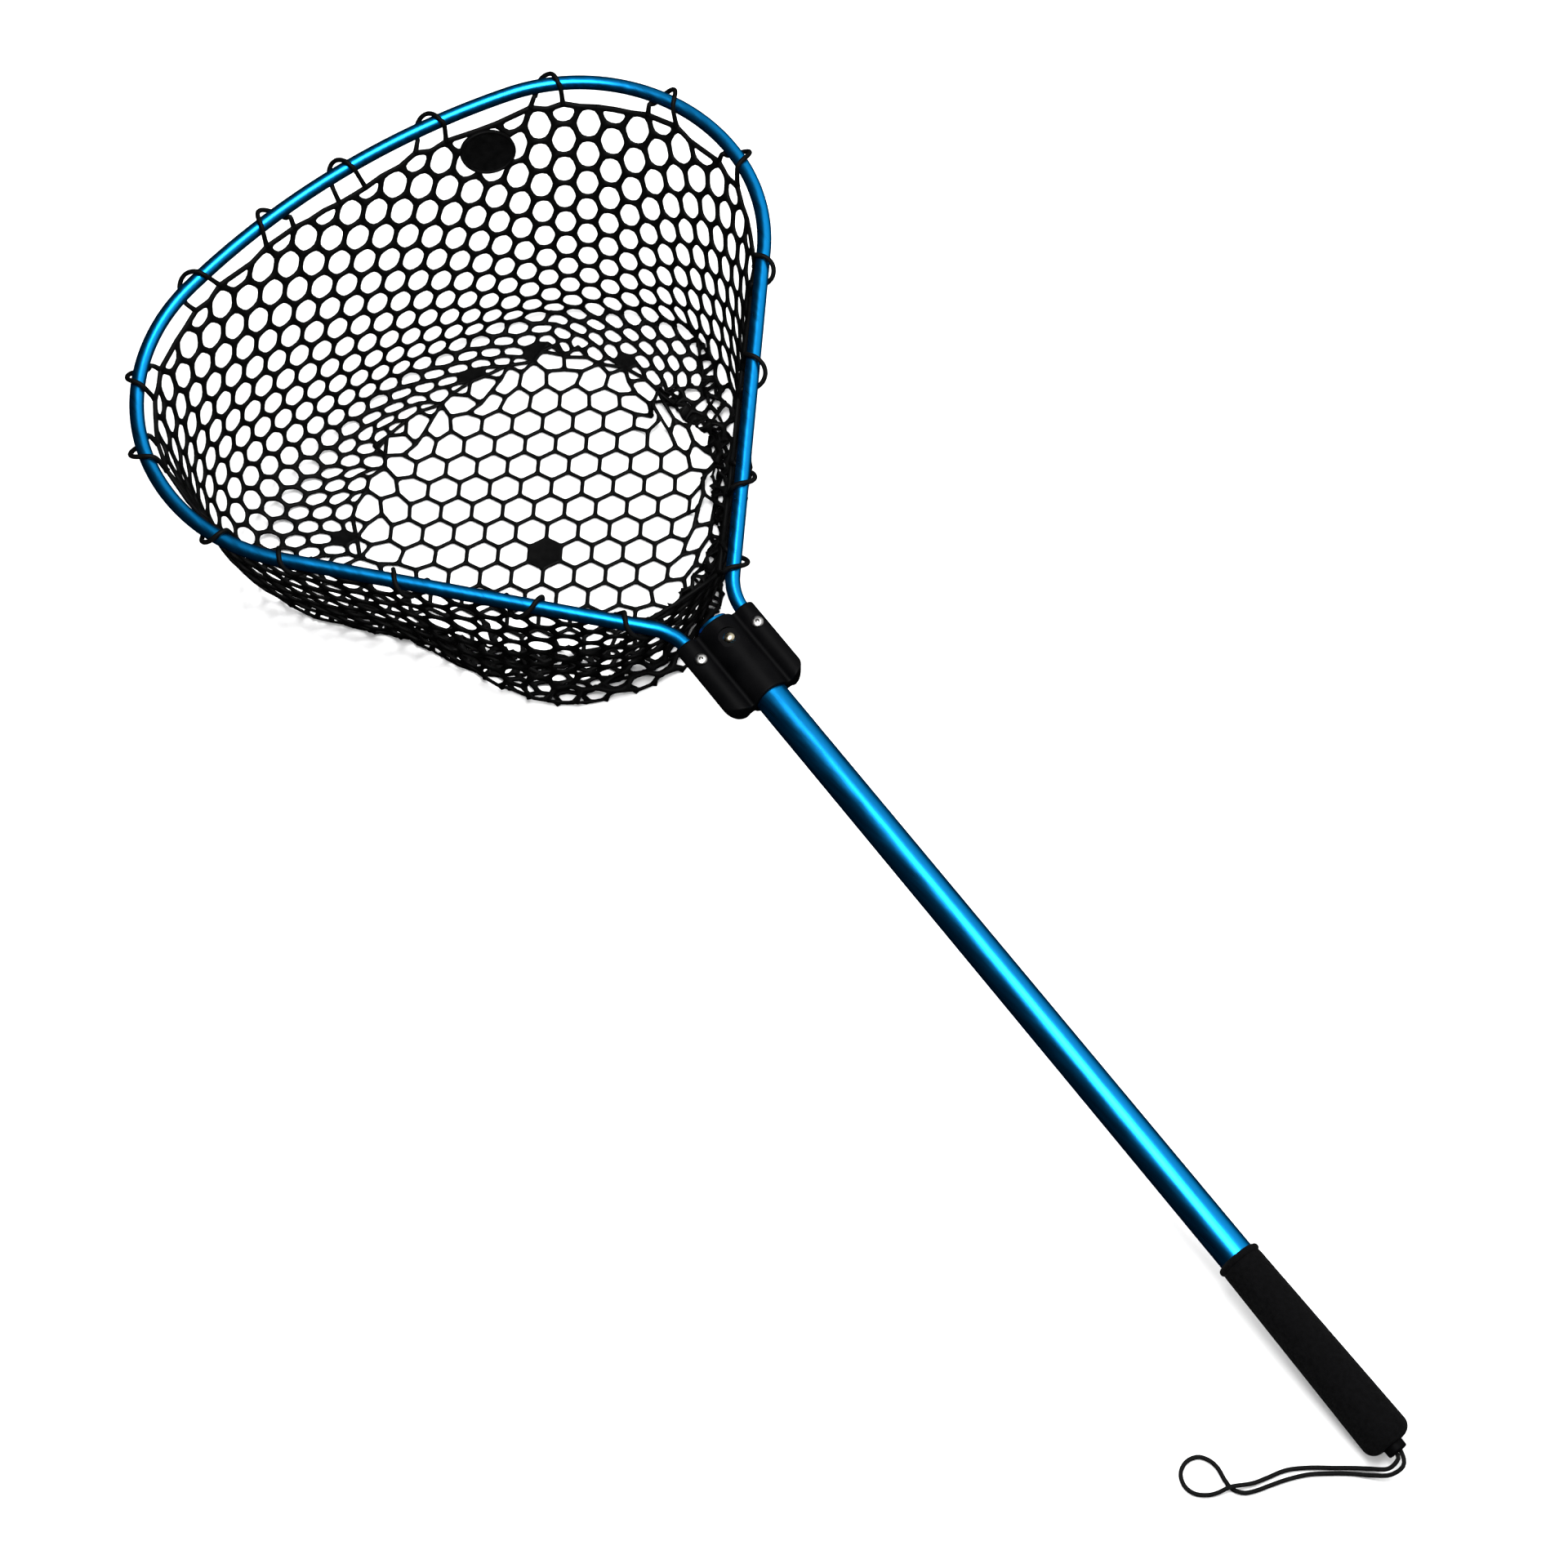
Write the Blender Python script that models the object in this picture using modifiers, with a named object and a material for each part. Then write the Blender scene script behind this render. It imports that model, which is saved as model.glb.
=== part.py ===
"""Landing net: a soft rubber bag on a bent tube hoop, a moulded yoke, and a handle that slides through it.

Metres, +Z up. It lies as it does when put down: the bag's floor panel flat on z = 0 and the butt of the
grip touching z = 0, so the hoop and the handle share a plane that is tilted by TILT.
Frame pieces are modelled in that plane's own axes (X along the handle to the butt, Z out of the hoop, origin
on the handle's axis in the yoke) and hang under an empty. The bag and the lanyard are in world axes.
"""

import math

import bmesh
import bpy
import numpy as np
from mathutils import Vector

# Pose of the hoop and handle plane
TILT = math.radians(9.5)
YOKE_X = 0.300
GAP = 0.0003

# Hoop: tube and outline, one half, in the plane's axes
HOOP_R = 0.00555
HOOP_WALL = 0.0011
HOOP_TIP_X = -0.5132
HOOP_FAR_R = 0.6044
HOOP_CORNER_R = 0.1452
HOOP_LEG_ANGLE = math.radians(41.4)
HOOP_LEG_APEX_X = -0.0072
HOOP_BEND_R = 0.045
LEG_Y = 0.0252
LEG_END_X = 0.030

# Yoke
YOKE_FRONT_X = -0.0215
YOKE_REAR_X = 0.0475
YOKE_HALF_Y = 0.0345
YOKE_BARREL_R = 0.0157
YOKE_BOSS_R = 0.0089
YOKE_WEB_Z = 0.0050
YOKE_CORNER_R = 0.016
YOKE_OVER = 0.006
CUT_TOP_Z = 0.03

# Handle, grip and butt
HANDLE_R = 0.0127
HANDLE_WALL = 0.0013
HANDLE_FRONT_X = -0.0245
HANDLE_REAR_X = 0.7120
GRIP_FRONT_X = 0.5645
GRIP_REAR_X = 0.7220
GRIP_FRONT_R = 0.0149
GRIP_REAR_R = 0.0175
GRIP_ROUND_R = 0.0085
GRIP_LIP_R = 0.0158
NUB_R = 0.0072
NUB_END_X = 0.7280
GRIP_WALL_X = 0.7160
CORD_HOLE_R = 0.0036
BUTT_FLANGE_R = 0.0125
BUTT_FLANGE_T = 0.0030
BUTT_PLUG_FRONT_X = 0.6900
BUTT_PLUG_BORE_R = 0.0085
BUTT_PLUG_WALL_X = 0.7060
FRONT_PLUG_REAR_X = -0.0105
FRONT_PLUG_DISH_R = 0.0075
FRONT_PLUG_DISH_DEPTH = 0.0015

# Snap button and rivets, on the line FASTENER_X across the yoke
FASTENER_X = -0.0035
BUTTON_R = 0.00415
BUTTON_TOP_Z = 0.0164
BUTTON_FLANGE_R = 0.0055
BUTTON_DISH_R = 0.0080
BUTTON_DISH_Z = 0.0139
RIVET_SHANK_R = 0.0023
RIVET_HEAD_R = 0.00475
RIVET_SEAT_Z = 0.0083
RIVET_HEAD_H = 0.0019
RIVET_BORE_R = 0.0012
RIVET_BULB_R = 0.0029
RIVET_BULB_Z = 0.0029
RIVET_END_Z = 0.0005
MANDREL_HEAD_R = 0.0021
MANDREL_END_Z = -0.0015

# Leaf spring inside the tube, under the button
BUTTON_FLANGE_Z = 0.0095
BUTTON_FLANGE_T = 0.0009
LEAF_HALF_Y = 0.0040
LEAF_T = 0.0006
LEAF_FRONT_X = -0.0085
LEAF_BEND_X = 0.0240
LEAF_BEND_R = 0.0060
LEAF_LOW_Z = -0.0100

# Bag
PANEL_R = 0.145
PANEL_X = 0.0
PANEL_T = 0.0016
WALL_T = 0.0012
WALL_TOP_Z = -0.021
WALL_INSET = 0.004
WALL_FRONT_X = -0.046
WALL_COLUMNS = 48
WALL_RINGS = 7
WALL_TUCK = 1.7
BADGE_R = 0.020
BADGE_T = 0.0016
BADGE_CLEAR = 0.0026
BADGE_ANGLE = math.radians(147.0)
BADGE_DOWN = 0.16

# Net loops round the hoop tube, at these fractions of the tube's length
LOOP_AT = (0.057, 0.101, 0.157, 0.213, 0.279, 0.328, 0.388, 0.450, 0.499,
           0.540, 0.591, 0.646, 0.686, 0.742, 0.782, 0.836, 0.890, 0.943)
LOOP_CORD_R = 0.0015
LOOP_TWIST = math.radians(35.0)
LOOP_DROP = 0.0172

# Lanyard: route points in world axes after it has left the butt, and how many points the tube gets
CORD_R = 0.0015
CORD_SIDE = 0.00165
CORD_START_X = 0.7043
KNOT_R = 0.0058
KNOT_X = 0.6980
LANYARD_POINTS = 78
LANYARD_ROUTE = (
    (1.0218, -0.0042, 0.0152), (1.0212, -0.0115, 0.0098), (1.0125, -0.0190, 0.0040),
    (1.0040, -0.0275, 0.0017), (0.9970, -0.0362, 0.0017), (0.9870, -0.0485, 0.0017),
    (0.9790, -0.0612, 0.0017), (0.9750, -0.0750, 0.0017), (0.9722, -0.0850, 0.0030),
    (0.9662, -0.0972, 0.0052), (0.9632, -0.1060, 0.0026), (0.9600, -0.1122, 0.0017),
    (0.9540, -0.1182, 0.0017), (0.9460, -0.1200, 0.0017), (0.9378, -0.1165, 0.0017),
    (0.9340, -0.1088, 0.0017), (0.9360, -0.1005, 0.0017), (0.9430, -0.0960, 0.0017),
    (0.9505, -0.0952, 0.0017), (0.9585, -0.0968, 0.0017), (0.9662, -0.0972, 0.0017),
    (0.9730, -0.0935, 0.0017), (0.9770, -0.0865, 0.0017), (0.9805, -0.0755, 0.0017),
    (0.9845, -0.0640, 0.0017), (0.9905, -0.0515, 0.0017), (1.0000, -0.0385, 0.0017),
    (1.0072, -0.0298, 0.0017), (1.0165, -0.0212, 0.0040), (1.0252, -0.0128, 0.0096),
    (1.0268, -0.0035, 0.0150),
)

# Surface finishes: colour, roughness, metallic
FINISHES = {
    "anodised_blue": ((0.01, 0.32, 0.80, 1.0), 0.28, 1.0),
    "black_plastic": ((0.012, 0.012, 0.014, 1.0), 0.45, 0.0),
    "foam_grip": ((0.010, 0.010, 0.011, 1.0), 0.85, 0.0),
    "net_rubber": ((0.010, 0.010, 0.010, 1.0), 0.50, 0.0),
    "rivet_steel": ((0.62, 0.61, 0.60, 1.0), 0.25, 1.0),
    "button_brass": ((0.72, 0.62, 0.42, 1.0), 0.25, 1.0),
    "spring_steel": ((0.50, 0.50, 0.52, 1.0), 0.35, 1.0),
    "lanyard_nylon": ((0.012, 0.012, 0.012, 1.0), 0.75, 0.0),
}


def clear_scene():
    for obj in list(bpy.data.objects):
        bpy.data.objects.remove(obj, do_unlink=True)


def new_collection(name, hidden=False):
    coll = bpy.data.collections.new(name)
    coll.hide_render = hidden
    bpy.context.scene.collection.children.link(coll)
    return coll


def finish(obj, coll, parent=None, slot=None):
    """Puts an object in its collection, under its parent, with its material and smooth round faces."""
    coll.objects.link(obj)
    obj.parent = parent
    if slot:
        mat = bpy.data.materials.get(slot)
        if mat is None:
            colour, rough, metal = FINISHES[slot]
            mat = bpy.data.materials.new(slot)
            mat.use_nodes = True
            shader = mat.node_tree.nodes["Principled BSDF"]
            shader.inputs["Base Color"].default_value = colour
            shader.inputs["Roughness"].default_value = rough
            shader.inputs["Metallic"].default_value = metal
        obj.data.materials.append(mat)
    if obj.type == "MESH":
        obj.data.shade_smooth()
        obj.data.set_sharp_from_angle(angle=math.radians(35))
    return obj


def mesh_object(name, bm):
    mesh = bpy.data.meshes.new(name)
    bmesh.ops.recalc_face_normals(bm, faces=bm.faces)
    bm.to_mesh(mesh)
    bm.free()
    return bpy.data.objects.new(name, mesh)


def turned(name, profile, steps, closed):
    """A turned solid about local Z. profile is (radius, z) pairs that run down the outer side.
    closed joins the last point to the first, for a ring; otherwise both ends lie on the axis."""
    bm = bmesh.new()
    verts = [bm.verts.new((radius, 0.0, z)) for radius, z in profile]
    pairs = list(zip(verts[:-1], verts[1:]))
    if closed:
        pairs.append((verts[-1], verts[0]))
    for start, end in pairs:
        bm.edges.new((start, end))
    mesh = bpy.data.meshes.new(name)
    bm.to_mesh(mesh)
    bm.free()
    obj = bpy.data.objects.new(name, mesh)
    screw = obj.modifiers.new("turn", "SCREW")
    screw.axis = "Z"
    screw.steps = steps
    screw.render_steps = steps
    screw.use_merge_vertices = True
    screw.merge_threshold = 1e-5
    return obj


def lay_along_x(obj):
    """Turns a piece that was made about Z so that its Z runs along its parent's X."""
    obj.rotation_euler = (0.0, math.pi / 2, 0.0)
    return obj


def cylinder(name, radius, start, end, segments=32):
    """A solid cylinder from point start to point end, for the yoke and for cutters."""
    start, end = Vector(start), Vector(end)
    bm = bmesh.new()
    bmesh.ops.create_cone(bm, cap_ends=True, segments=segments, radius1=radius, radius2=radius,
                          depth=(end - start).length)
    turn = (end - start).to_track_quat("Z", "Y").to_matrix().to_4x4()
    turn.translation = (start + end) / 2
    bmesh.ops.transform(bm, matrix=turn, verts=bm.verts)
    return mesh_object(name, bm)


def prism(name, outline, low_z, high_z):
    """A flat outline of (x, y) pairs, extruded from low_z to high_z."""
    bm = bmesh.new()
    face = bm.faces.new([bm.verts.new((x, y, low_z)) for x, y in outline])
    made = bmesh.ops.extrude_face_region(bm, geom=[face])["geom"]
    verts = [item for item in made if isinstance(item, bmesh.types.BMVert)]
    bmesh.ops.translate(bm, verts=verts, vec=(0.0, 0.0, high_z - low_z))
    return mesh_object(name, bm)


def combine(obj, other, operation, helpers, parent):
    """Adds a Boolean of obj with other, which becomes a hidden helper."""
    finish(other, helpers, parent)
    other.hide_render = True
    other.display_type = "WIRE"
    boolean = obj.modifiers.new(operation.lower(), "BOOLEAN")
    boolean.operation = operation
    boolean.solver = "EXACT"
    boolean.object = other


def arc(centre_x, centre_y, radius, start, end, count):
    """(x, y) points on an arc from angle start to angle end, both included."""
    angles = np.linspace(start, end, count)
    return [(centre_x + radius * math.cos(a), centre_y + radius * math.sin(a)) for a in angles]


def smooth_route(points, count):
    """count points at even distances along a Catmull-Rom curve through points."""
    knots = [np.array(p) for p in points]
    knots = [2 * knots[0] - knots[1]] + knots + [2 * knots[-1] - knots[-2]]
    fine = []
    for before, start, end, after in zip(knots, knots[1:], knots[2:], knots[3:]):
        for t in np.linspace(0.0, 1.0, 12, endpoint=False):
            fine.append(0.5 * (2 * start + t * (end - before)
                               + t * t * (2 * before - 5 * start + 4 * end - after)
                               + t ** 3 * (3 * start - before - 3 * end + after)))
    fine = np.array(fine + [knots[-2]])
    along = np.concatenate([[0.0], np.cumsum(np.linalg.norm(np.diff(fine, axis=0), axis=1))])
    even = np.linspace(0.0, along[-1], count)
    return np.stack([np.interp(even, along, fine[:, axis]) for axis in range(3)], axis=1)


def hoop_half():
    """One half of the hoop's centre line, from the leg's end in the yoke to the far tip, at +Y."""
    sin_a, cos_a = math.sin(HOOP_LEG_ANGLE), math.cos(HOOP_LEG_ANGLE)
    far_x = HOOP_TIP_X + HOOP_FAR_R
    # The corner arc touches the straight leg and, from inside, the far arc.
    offset = np.array([HOOP_LEG_APEX_X - HOOP_CORNER_R * sin_a - far_x, -HOOP_CORNER_R * cos_a])
    along_leg = np.array([-cos_a, sin_a])
    half_b = offset @ along_leg
    reach = -half_b + math.sqrt(half_b ** 2 - offset @ offset + (HOOP_FAR_R - HOOP_CORNER_R) ** 2)
    corner = offset + reach * along_leg + np.array([far_x, 0.0])
    split = math.atan2(corner[1], corner[0] - far_x)
    bend_x = HOOP_LEG_APEX_X - LEG_Y / math.tan(HOOP_LEG_ANGLE) \
        + HOOP_BEND_R * math.tan(HOOP_LEG_ANGLE / 2)
    straight_end = math.pi / 2 - HOOP_LEG_ANGLE
    return ([(LEG_END_X, LEG_Y)]
            + arc(bend_x, LEG_Y + HOOP_BEND_R, HOOP_BEND_R, -math.pi / 2,
                  -math.pi / 2 - HOOP_LEG_ANGLE, 7)
            + arc(*corner, HOOP_CORNER_R, straight_end, split, 17)
            + arc(far_x, 0.0, HOOP_FAR_R, split, math.pi, 9)[1:])


def hoop_line():
    """The whole centre line, from the leg at +Y round to the leg at -Y."""
    half = hoop_half()
    return half + [(x, -y) for x, y in reversed(half[:-1])]


def to_world(point):
    """A point in the plane's axes as a point in world axes."""
    x, y, z = point
    return Vector((YOKE_X + x * math.cos(TILT) + z * math.sin(TILT), y,
                   yoke_z() - x * math.sin(TILT) + z * math.cos(TILT)))


def grip_profile():
    """(radius, x) along the grip's outside, from the butt to the front lip."""
    round_x = GRIP_REAR_X - GRIP_ROUND_R
    rounding = arc(GRIP_REAR_R - GRIP_ROUND_R, round_x, GRIP_ROUND_R, math.pi / 2, 0.0, 8)
    lip = [(GRIP_FRONT_R, GRIP_FRONT_X + 0.0068), (GRIP_LIP_R - 0.0004, GRIP_FRONT_X + 0.0052),
           (GRIP_LIP_R, GRIP_FRONT_X + 0.0034), (GRIP_LIP_R - 0.0003, GRIP_FRONT_X + 0.0012),
           (GRIP_FRONT_R, GRIP_FRONT_X)]
    return rounding + lip


def yoke_z():
    """Height of the handle's axis in the yoke that lets the grip's lowest point touch z = 0."""
    return max(x * math.sin(TILT) + radius * math.cos(TILT) for radius, x in grip_profile())


def make_hoop(parts, helpers, plane):
    data = bpy.data.curves.new("hoop_line", "CURVE")
    data.dimensions = "3D"
    data.bevel_depth = HOOP_R
    data.bevel_resolution = 4
    spline = data.splines.new("POLY")
    line = hoop_line()
    spline.points.add(len(line) - 1)
    for point, (x, y) in zip(spline.points, line):
        point.co = (x, y, 0.0, 1.0)
    curve = finish(bpy.data.objects.new("hoop_line", data), helpers, plane)
    graph = bpy.context.evaluated_depsgraph_get()
    mesh = bpy.data.meshes.new_from_object(curve.evaluated_get(graph))
    bpy.data.objects.remove(curve, do_unlink=True)
    hoop = finish(bpy.data.objects.new("hoop_tube", mesh), parts, plane, "anodised_blue")
    wall = hoop.modifiers.new("wall", "SOLIDIFY")
    wall.thickness = HOOP_WALL
    wall.offset = -1.0
    for side in (1, -1):
        hole = cylinder("rivet_hole", RIVET_SHANK_R + GAP, (FASTENER_X, side * LEG_Y, 0.001),
                        (FASTENER_X, side * LEG_Y, CUT_TOP_Z), 16)
        combine(hoop, hole, "DIFFERENCE", helpers, plane)


def make_yoke(parts, helpers, plane):
    front, rear = YOKE_FRONT_X - YOKE_OVER, YOKE_REAR_X + YOKE_OVER
    yoke = cylinder("yoke", YOKE_BARREL_R, (front, 0, 0), (rear, 0, 0), 48)
    finish(yoke, parts, plane, "black_plastic")
    web = prism("yoke_web", [(front - 0.001, -LEG_Y), (rear + 0.001, -LEG_Y),
                             (rear + 0.001, LEG_Y), (front - 0.001, LEG_Y)],
                -YOKE_WEB_Z, YOKE_WEB_Z)
    combine(yoke, web, "UNION", helpers, plane)
    for side in (1, -1):
        y = side * LEG_Y
        boss = cylinder("yoke_boss", YOKE_BOSS_R, (front - 0.002, y, 0), (rear + 0.002, y, 0))
        combine(yoke, boss, "UNION", helpers, plane)
    turn = YOKE_CORNER_R
    plan = [(YOKE_FRONT_X, -YOKE_HALF_Y)]
    plan += arc(YOKE_REAR_X - turn, turn - YOKE_HALF_Y, turn, -math.pi / 2, 0.0, 9)
    plan += arc(YOKE_REAR_X - turn, YOKE_HALF_Y - turn, turn, 0.0, math.pi / 2, 9)
    plan += [(YOKE_FRONT_X, YOKE_HALF_Y)]
    combine(yoke, prism("yoke_plan", plan, -CUT_TOP_Z, CUT_TOP_Z), "INTERSECT", helpers, plane)
    cutters = [cylinder("handle_bore", HANDLE_R + GAP, (front, 0, 0), (rear, 0, 0), 48),
               cylinder("button_hole", BUTTON_R + GAP, (FASTENER_X, 0, 0.004),
                        (FASTENER_X, 0, CUT_TOP_Z), 24),
               cylinder("button_dish", BUTTON_DISH_R, (FASTENER_X, 0, BUTTON_DISH_Z),
                        (FASTENER_X, 0, CUT_TOP_Z), 32)]
    for side in (1, -1):
        y = side * LEG_Y
        cutters += [cylinder("leg_bore", HOOP_R + GAP, (front, y, 0),
                             (LEG_END_X + 0.001, y, 0), 24),
                    cylinder("rivet_hole", RIVET_SHANK_R + GAP, (FASTENER_X, y, 0.001),
                             (FASTENER_X, y, CUT_TOP_Z), 16),
                    cylinder("rivet_seat", RIVET_HEAD_R + 2 * GAP, (FASTENER_X, y, RIVET_SEAT_Z),
                             (FASTENER_X, y, CUT_TOP_Z), 24)]
    for cutter in cutters:
        combine(yoke, cutter, "DIFFERENCE", helpers, plane)


def make_rivet(parts, plane, name, y):
    """A blind rivet: its domed body, and the broken mandrel that stays inside it."""
    seat = RIVET_SEAT_Z + GAP
    body = turned("rivet_" + name, [
        (RIVET_BORE_R, seat + RIVET_HEAD_H), (0.55 * RIVET_HEAD_R, seat + RIVET_HEAD_H),
        (0.84 * RIVET_HEAD_R, seat + 0.63 * RIVET_HEAD_H), (RIVET_HEAD_R, seat),
        (RIVET_SHANK_R, seat), (RIVET_SHANK_R, RIVET_BULB_Z + 0.0002), (RIVET_BULB_R, RIVET_BULB_Z),
        (RIVET_BULB_R, RIVET_END_Z), (RIVET_BORE_R, RIVET_END_Z)], 24, True)
    stem_r, stem_end_z = RIVET_BORE_R - GAP, RIVET_END_Z - GAP
    mandrel = turned("rivet_mandrel_" + name, [
        (0.0, seat + 0.74 * RIVET_HEAD_H), (stem_r, seat + 0.74 * RIVET_HEAD_H), (stem_r, stem_end_z),
        (MANDREL_HEAD_R, stem_end_z), (MANDREL_HEAD_R, MANDREL_END_Z + 0.0007),
        (0.0, MANDREL_END_Z)], 16, False)
    for piece in (body, mandrel):
        finish(piece, parts, plane, "rivet_steel")
        piece.location = (FASTENER_X, y, 0.0)


def make_handle(parts, helpers, plane):
    inner = HANDLE_R - HANDLE_WALL
    tube = turned("handle_tube", [(HANDLE_R, HANDLE_REAR_X), (HANDLE_R, HANDLE_FRONT_X),
                                  (inner, HANDLE_FRONT_X), (inner, HANDLE_REAR_X)], 48, True)
    finish(lay_along_x(tube), parts, plane, "anodised_blue")
    hole = cylinder("button_hole_in_tube", BUTTON_R + GAP, (FASTENER_X, 0, 0.005),
                    (FASTENER_X, 0, 0.02), 24)
    combine(tube, hole, "DIFFERENCE", helpers, plane)

    plug_r = inner - GAP
    face_x = HANDLE_FRONT_X + 0.0005
    floor_x = face_x + FRONT_PLUG_DISH_DEPTH
    plug = turned("handle_front_plug", [
        (0.0, FRONT_PLUG_REAR_X), (plug_r, FRONT_PLUG_REAR_X), (plug_r, face_x + 0.0005),
        (plug_r - 0.0015, face_x), (FRONT_PLUG_DISH_R, face_x),
        (FRONT_PLUG_DISH_R - 0.0010, floor_x), (0.0, floor_x)], 32, False)
    finish(lay_along_x(plug), parts, plane, "black_plastic")

    bore = HANDLE_R + GAP
    sleeve = turned("grip", grip_profile() + [
        (bore, GRIP_FRONT_X), (bore, GRIP_WALL_X), (NUB_R + GAP, GRIP_WALL_X),
        (NUB_R + GAP, GRIP_REAR_X)], 40, True)
    finish(lay_along_x(sleeve), parts, plane, "foam_grip")

    flange_x = HANDLE_REAR_X + GAP
    shoulder_x = flange_x + BUTT_FLANGE_T
    butt = turned("butt_cap", [
        (CORD_HOLE_R, NUB_END_X), (NUB_R - 0.0010, NUB_END_X), (NUB_R, NUB_END_X - 0.0012),
        (NUB_R, shoulder_x), (BUTT_FLANGE_R, shoulder_x), (BUTT_FLANGE_R, flange_x),
        (plug_r, flange_x), (plug_r, BUTT_PLUG_FRONT_X), (BUTT_PLUG_BORE_R, BUTT_PLUG_FRONT_X),
        (BUTT_PLUG_BORE_R, BUTT_PLUG_WALL_X), (CORD_HOLE_R, BUTT_PLUG_WALL_X)], 32, True)
    finish(lay_along_x(butt), parts, plane, "black_plastic")


def make_button(parts, axis_empty, plane):
    flange_z, foot_z = BUTTON_FLANGE_Z, BUTTON_FLANGE_Z - BUTTON_FLANGE_T
    dome = arc(0.0, BUTTON_TOP_Z - BUTTON_R, BUTTON_R, math.pi / 2, math.pi / 8, 6)
    button = turned("snap_button", dome + [
        (BUTTON_R, BUTTON_TOP_Z - BUTTON_R), (BUTTON_R, flange_z), (BUTTON_FLANGE_R, flange_z),
        (BUTTON_FLANGE_R, foot_z), (0.0, foot_z)], 24, False)
    finish(button, parts, axis_empty, "button_brass")

    # A bent leaf: its upper arm carries the button, its lower arm presses on the tube's inside.
    leaf_z = foot_z - GAP - LEAF_T / 2
    path = [(LEAF_FRONT_X, leaf_z), (LEAF_BEND_X / 3, leaf_z)]
    path += arc(LEAF_BEND_X, 0.0, LEAF_BEND_R, 1.2, -1.2, 7)
    path += [(LEAF_FRONT_X + 0.0005, LEAF_LOW_Z)]
    bm = bmesh.new()
    rows = [[bm.verts.new((x, side * LEAF_HALF_Y, z)) for x, z in path] for side in (-1, 1)]
    for k in range(len(path) - 1):
        bm.faces.new((rows[0][k], rows[0][k + 1], rows[1][k + 1], rows[1][k]))
    leaf = finish(mesh_object("snap_button_spring", bm), parts, plane, "spring_steel")
    solid = leaf.modifiers.new("sheet", "SOLIDIFY")
    solid.thickness = LEAF_T
    solid.offset = 0.0


def make_lanyard(parts, plane):
    ends = []
    for side in (-1, 1):
        in_hole = [to_world((x, side * CORD_SIDE, 0.0)) for x in (CORD_START_X, GRIP_WALL_X, NUB_END_X)]
        ends.append([tuple(p) for p in in_hole])
    route = smooth_route(ends[0] + list(LANYARD_ROUTE) + ends[1][::-1], LANYARD_POINTS)
    data = bpy.data.curves.new("lanyard_cord", "CURVE")
    data.dimensions = "3D"
    data.bevel_depth = CORD_R
    data.bevel_resolution = 2
    data.use_fill_caps = True
    spline = data.splines.new("POLY")
    spline.points.add(len(route) - 1)
    for point, place in zip(spline.points, route):
        point.co = (*place, 1.0)
    finish(bpy.data.objects.new("lanyard_cord", data), parts, None, "lanyard_nylon")

    bm = bmesh.new()
    bmesh.ops.create_uvsphere(bm, u_segments=16, v_segments=10, radius=KNOT_R)
    knot = finish(mesh_object("lanyard_knot", bm), parts, plane, "lanyard_nylon")
    knot.location = (KNOT_X, 0.0, 0.0)


def rim_radius(angles):
    """Distance from the panel's centre out to the hoop's centre line, seen from above."""
    line = np.array(hoop_line())
    fine = np.concatenate([np.linspace(a, b, 20, endpoint=False) for a, b in zip(line, line[1:])])
    fine = fine[fine[:, 0] < WALL_FRONT_X]
    world = np.array([tuple(to_world((x, y, WALL_TOP_Z)))[:2] for x, y in fine])
    out = world - (PANEL_X, 0.0)
    turn = np.unwrap(np.arctan2(out[:, 1], out[:, 0]))
    order = np.argsort(turn)
    around = np.mod(angles - turn[order[0]], 2 * math.pi) + turn[order[0]]
    closing = np.append(turn[order], turn[order[0]] + 2 * math.pi)
    reach = np.hypot(out[:, 0], out[:, 1])[order]
    return np.interp(around, closing, np.append(reach, reach[0]))


def wall_point(angle, down, out=0.0):
    """A point on the bag's wall: down runs from 0 at the top edge to 1 at the floor panel."""
    top = float(rim_radius(np.array([angle]))[0]) - WALL_INSET
    foot = PANEL_R + 2 * GAP + WALL_T / 2
    radius = top + (foot - top) * down ** WALL_TUCK + out
    x = PANEL_X + top * math.cos(angle)
    plane_z = yoke_z() + WALL_TOP_Z / math.cos(TILT) - (x - YOKE_X) * math.tan(TILT)
    return Vector((PANEL_X + radius * math.cos(angle), radius * math.sin(angle),
                   GAP + (plane_z - GAP) * (1 - down)))


def make_wall(parts):
    """The wall as one closed skin: for each column a strip down the outside and up the inside."""
    bm = bmesh.new()
    columns = []
    downs = np.linspace(0.0, 1.0, WALL_RINGS + 1)
    for angle in np.linspace(0.0, 2 * math.pi, WALL_COLUMNS, endpoint=False):
        outside = [wall_point(angle, down, WALL_T / 2) for down in downs]
        inside = [wall_point(angle, down, -WALL_T / 2) for down in reversed(downs)]
        columns.append([bm.verts.new(p) for p in outside + inside])
    size = len(columns[0])
    for k, column in enumerate(columns):
        other = columns[(k + 1) % WALL_COLUMNS]
        for j in range(size):
            nxt = (j + 1) % size
            bm.faces.new((column[j], column[nxt], other[nxt], other[j]))
    finish(mesh_object("net_wall", bm), parts, None, "net_rubber")


def make_panel(parts):
    outline = arc(PANEL_X, 0.0, PANEL_R, 0.0, 2 * math.pi * (1 - 1 / WALL_COLUMNS), WALL_COLUMNS)
    finish(prism("net_bottom", outline, 0.0, PANEL_T), parts, None, "net_rubber")


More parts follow.
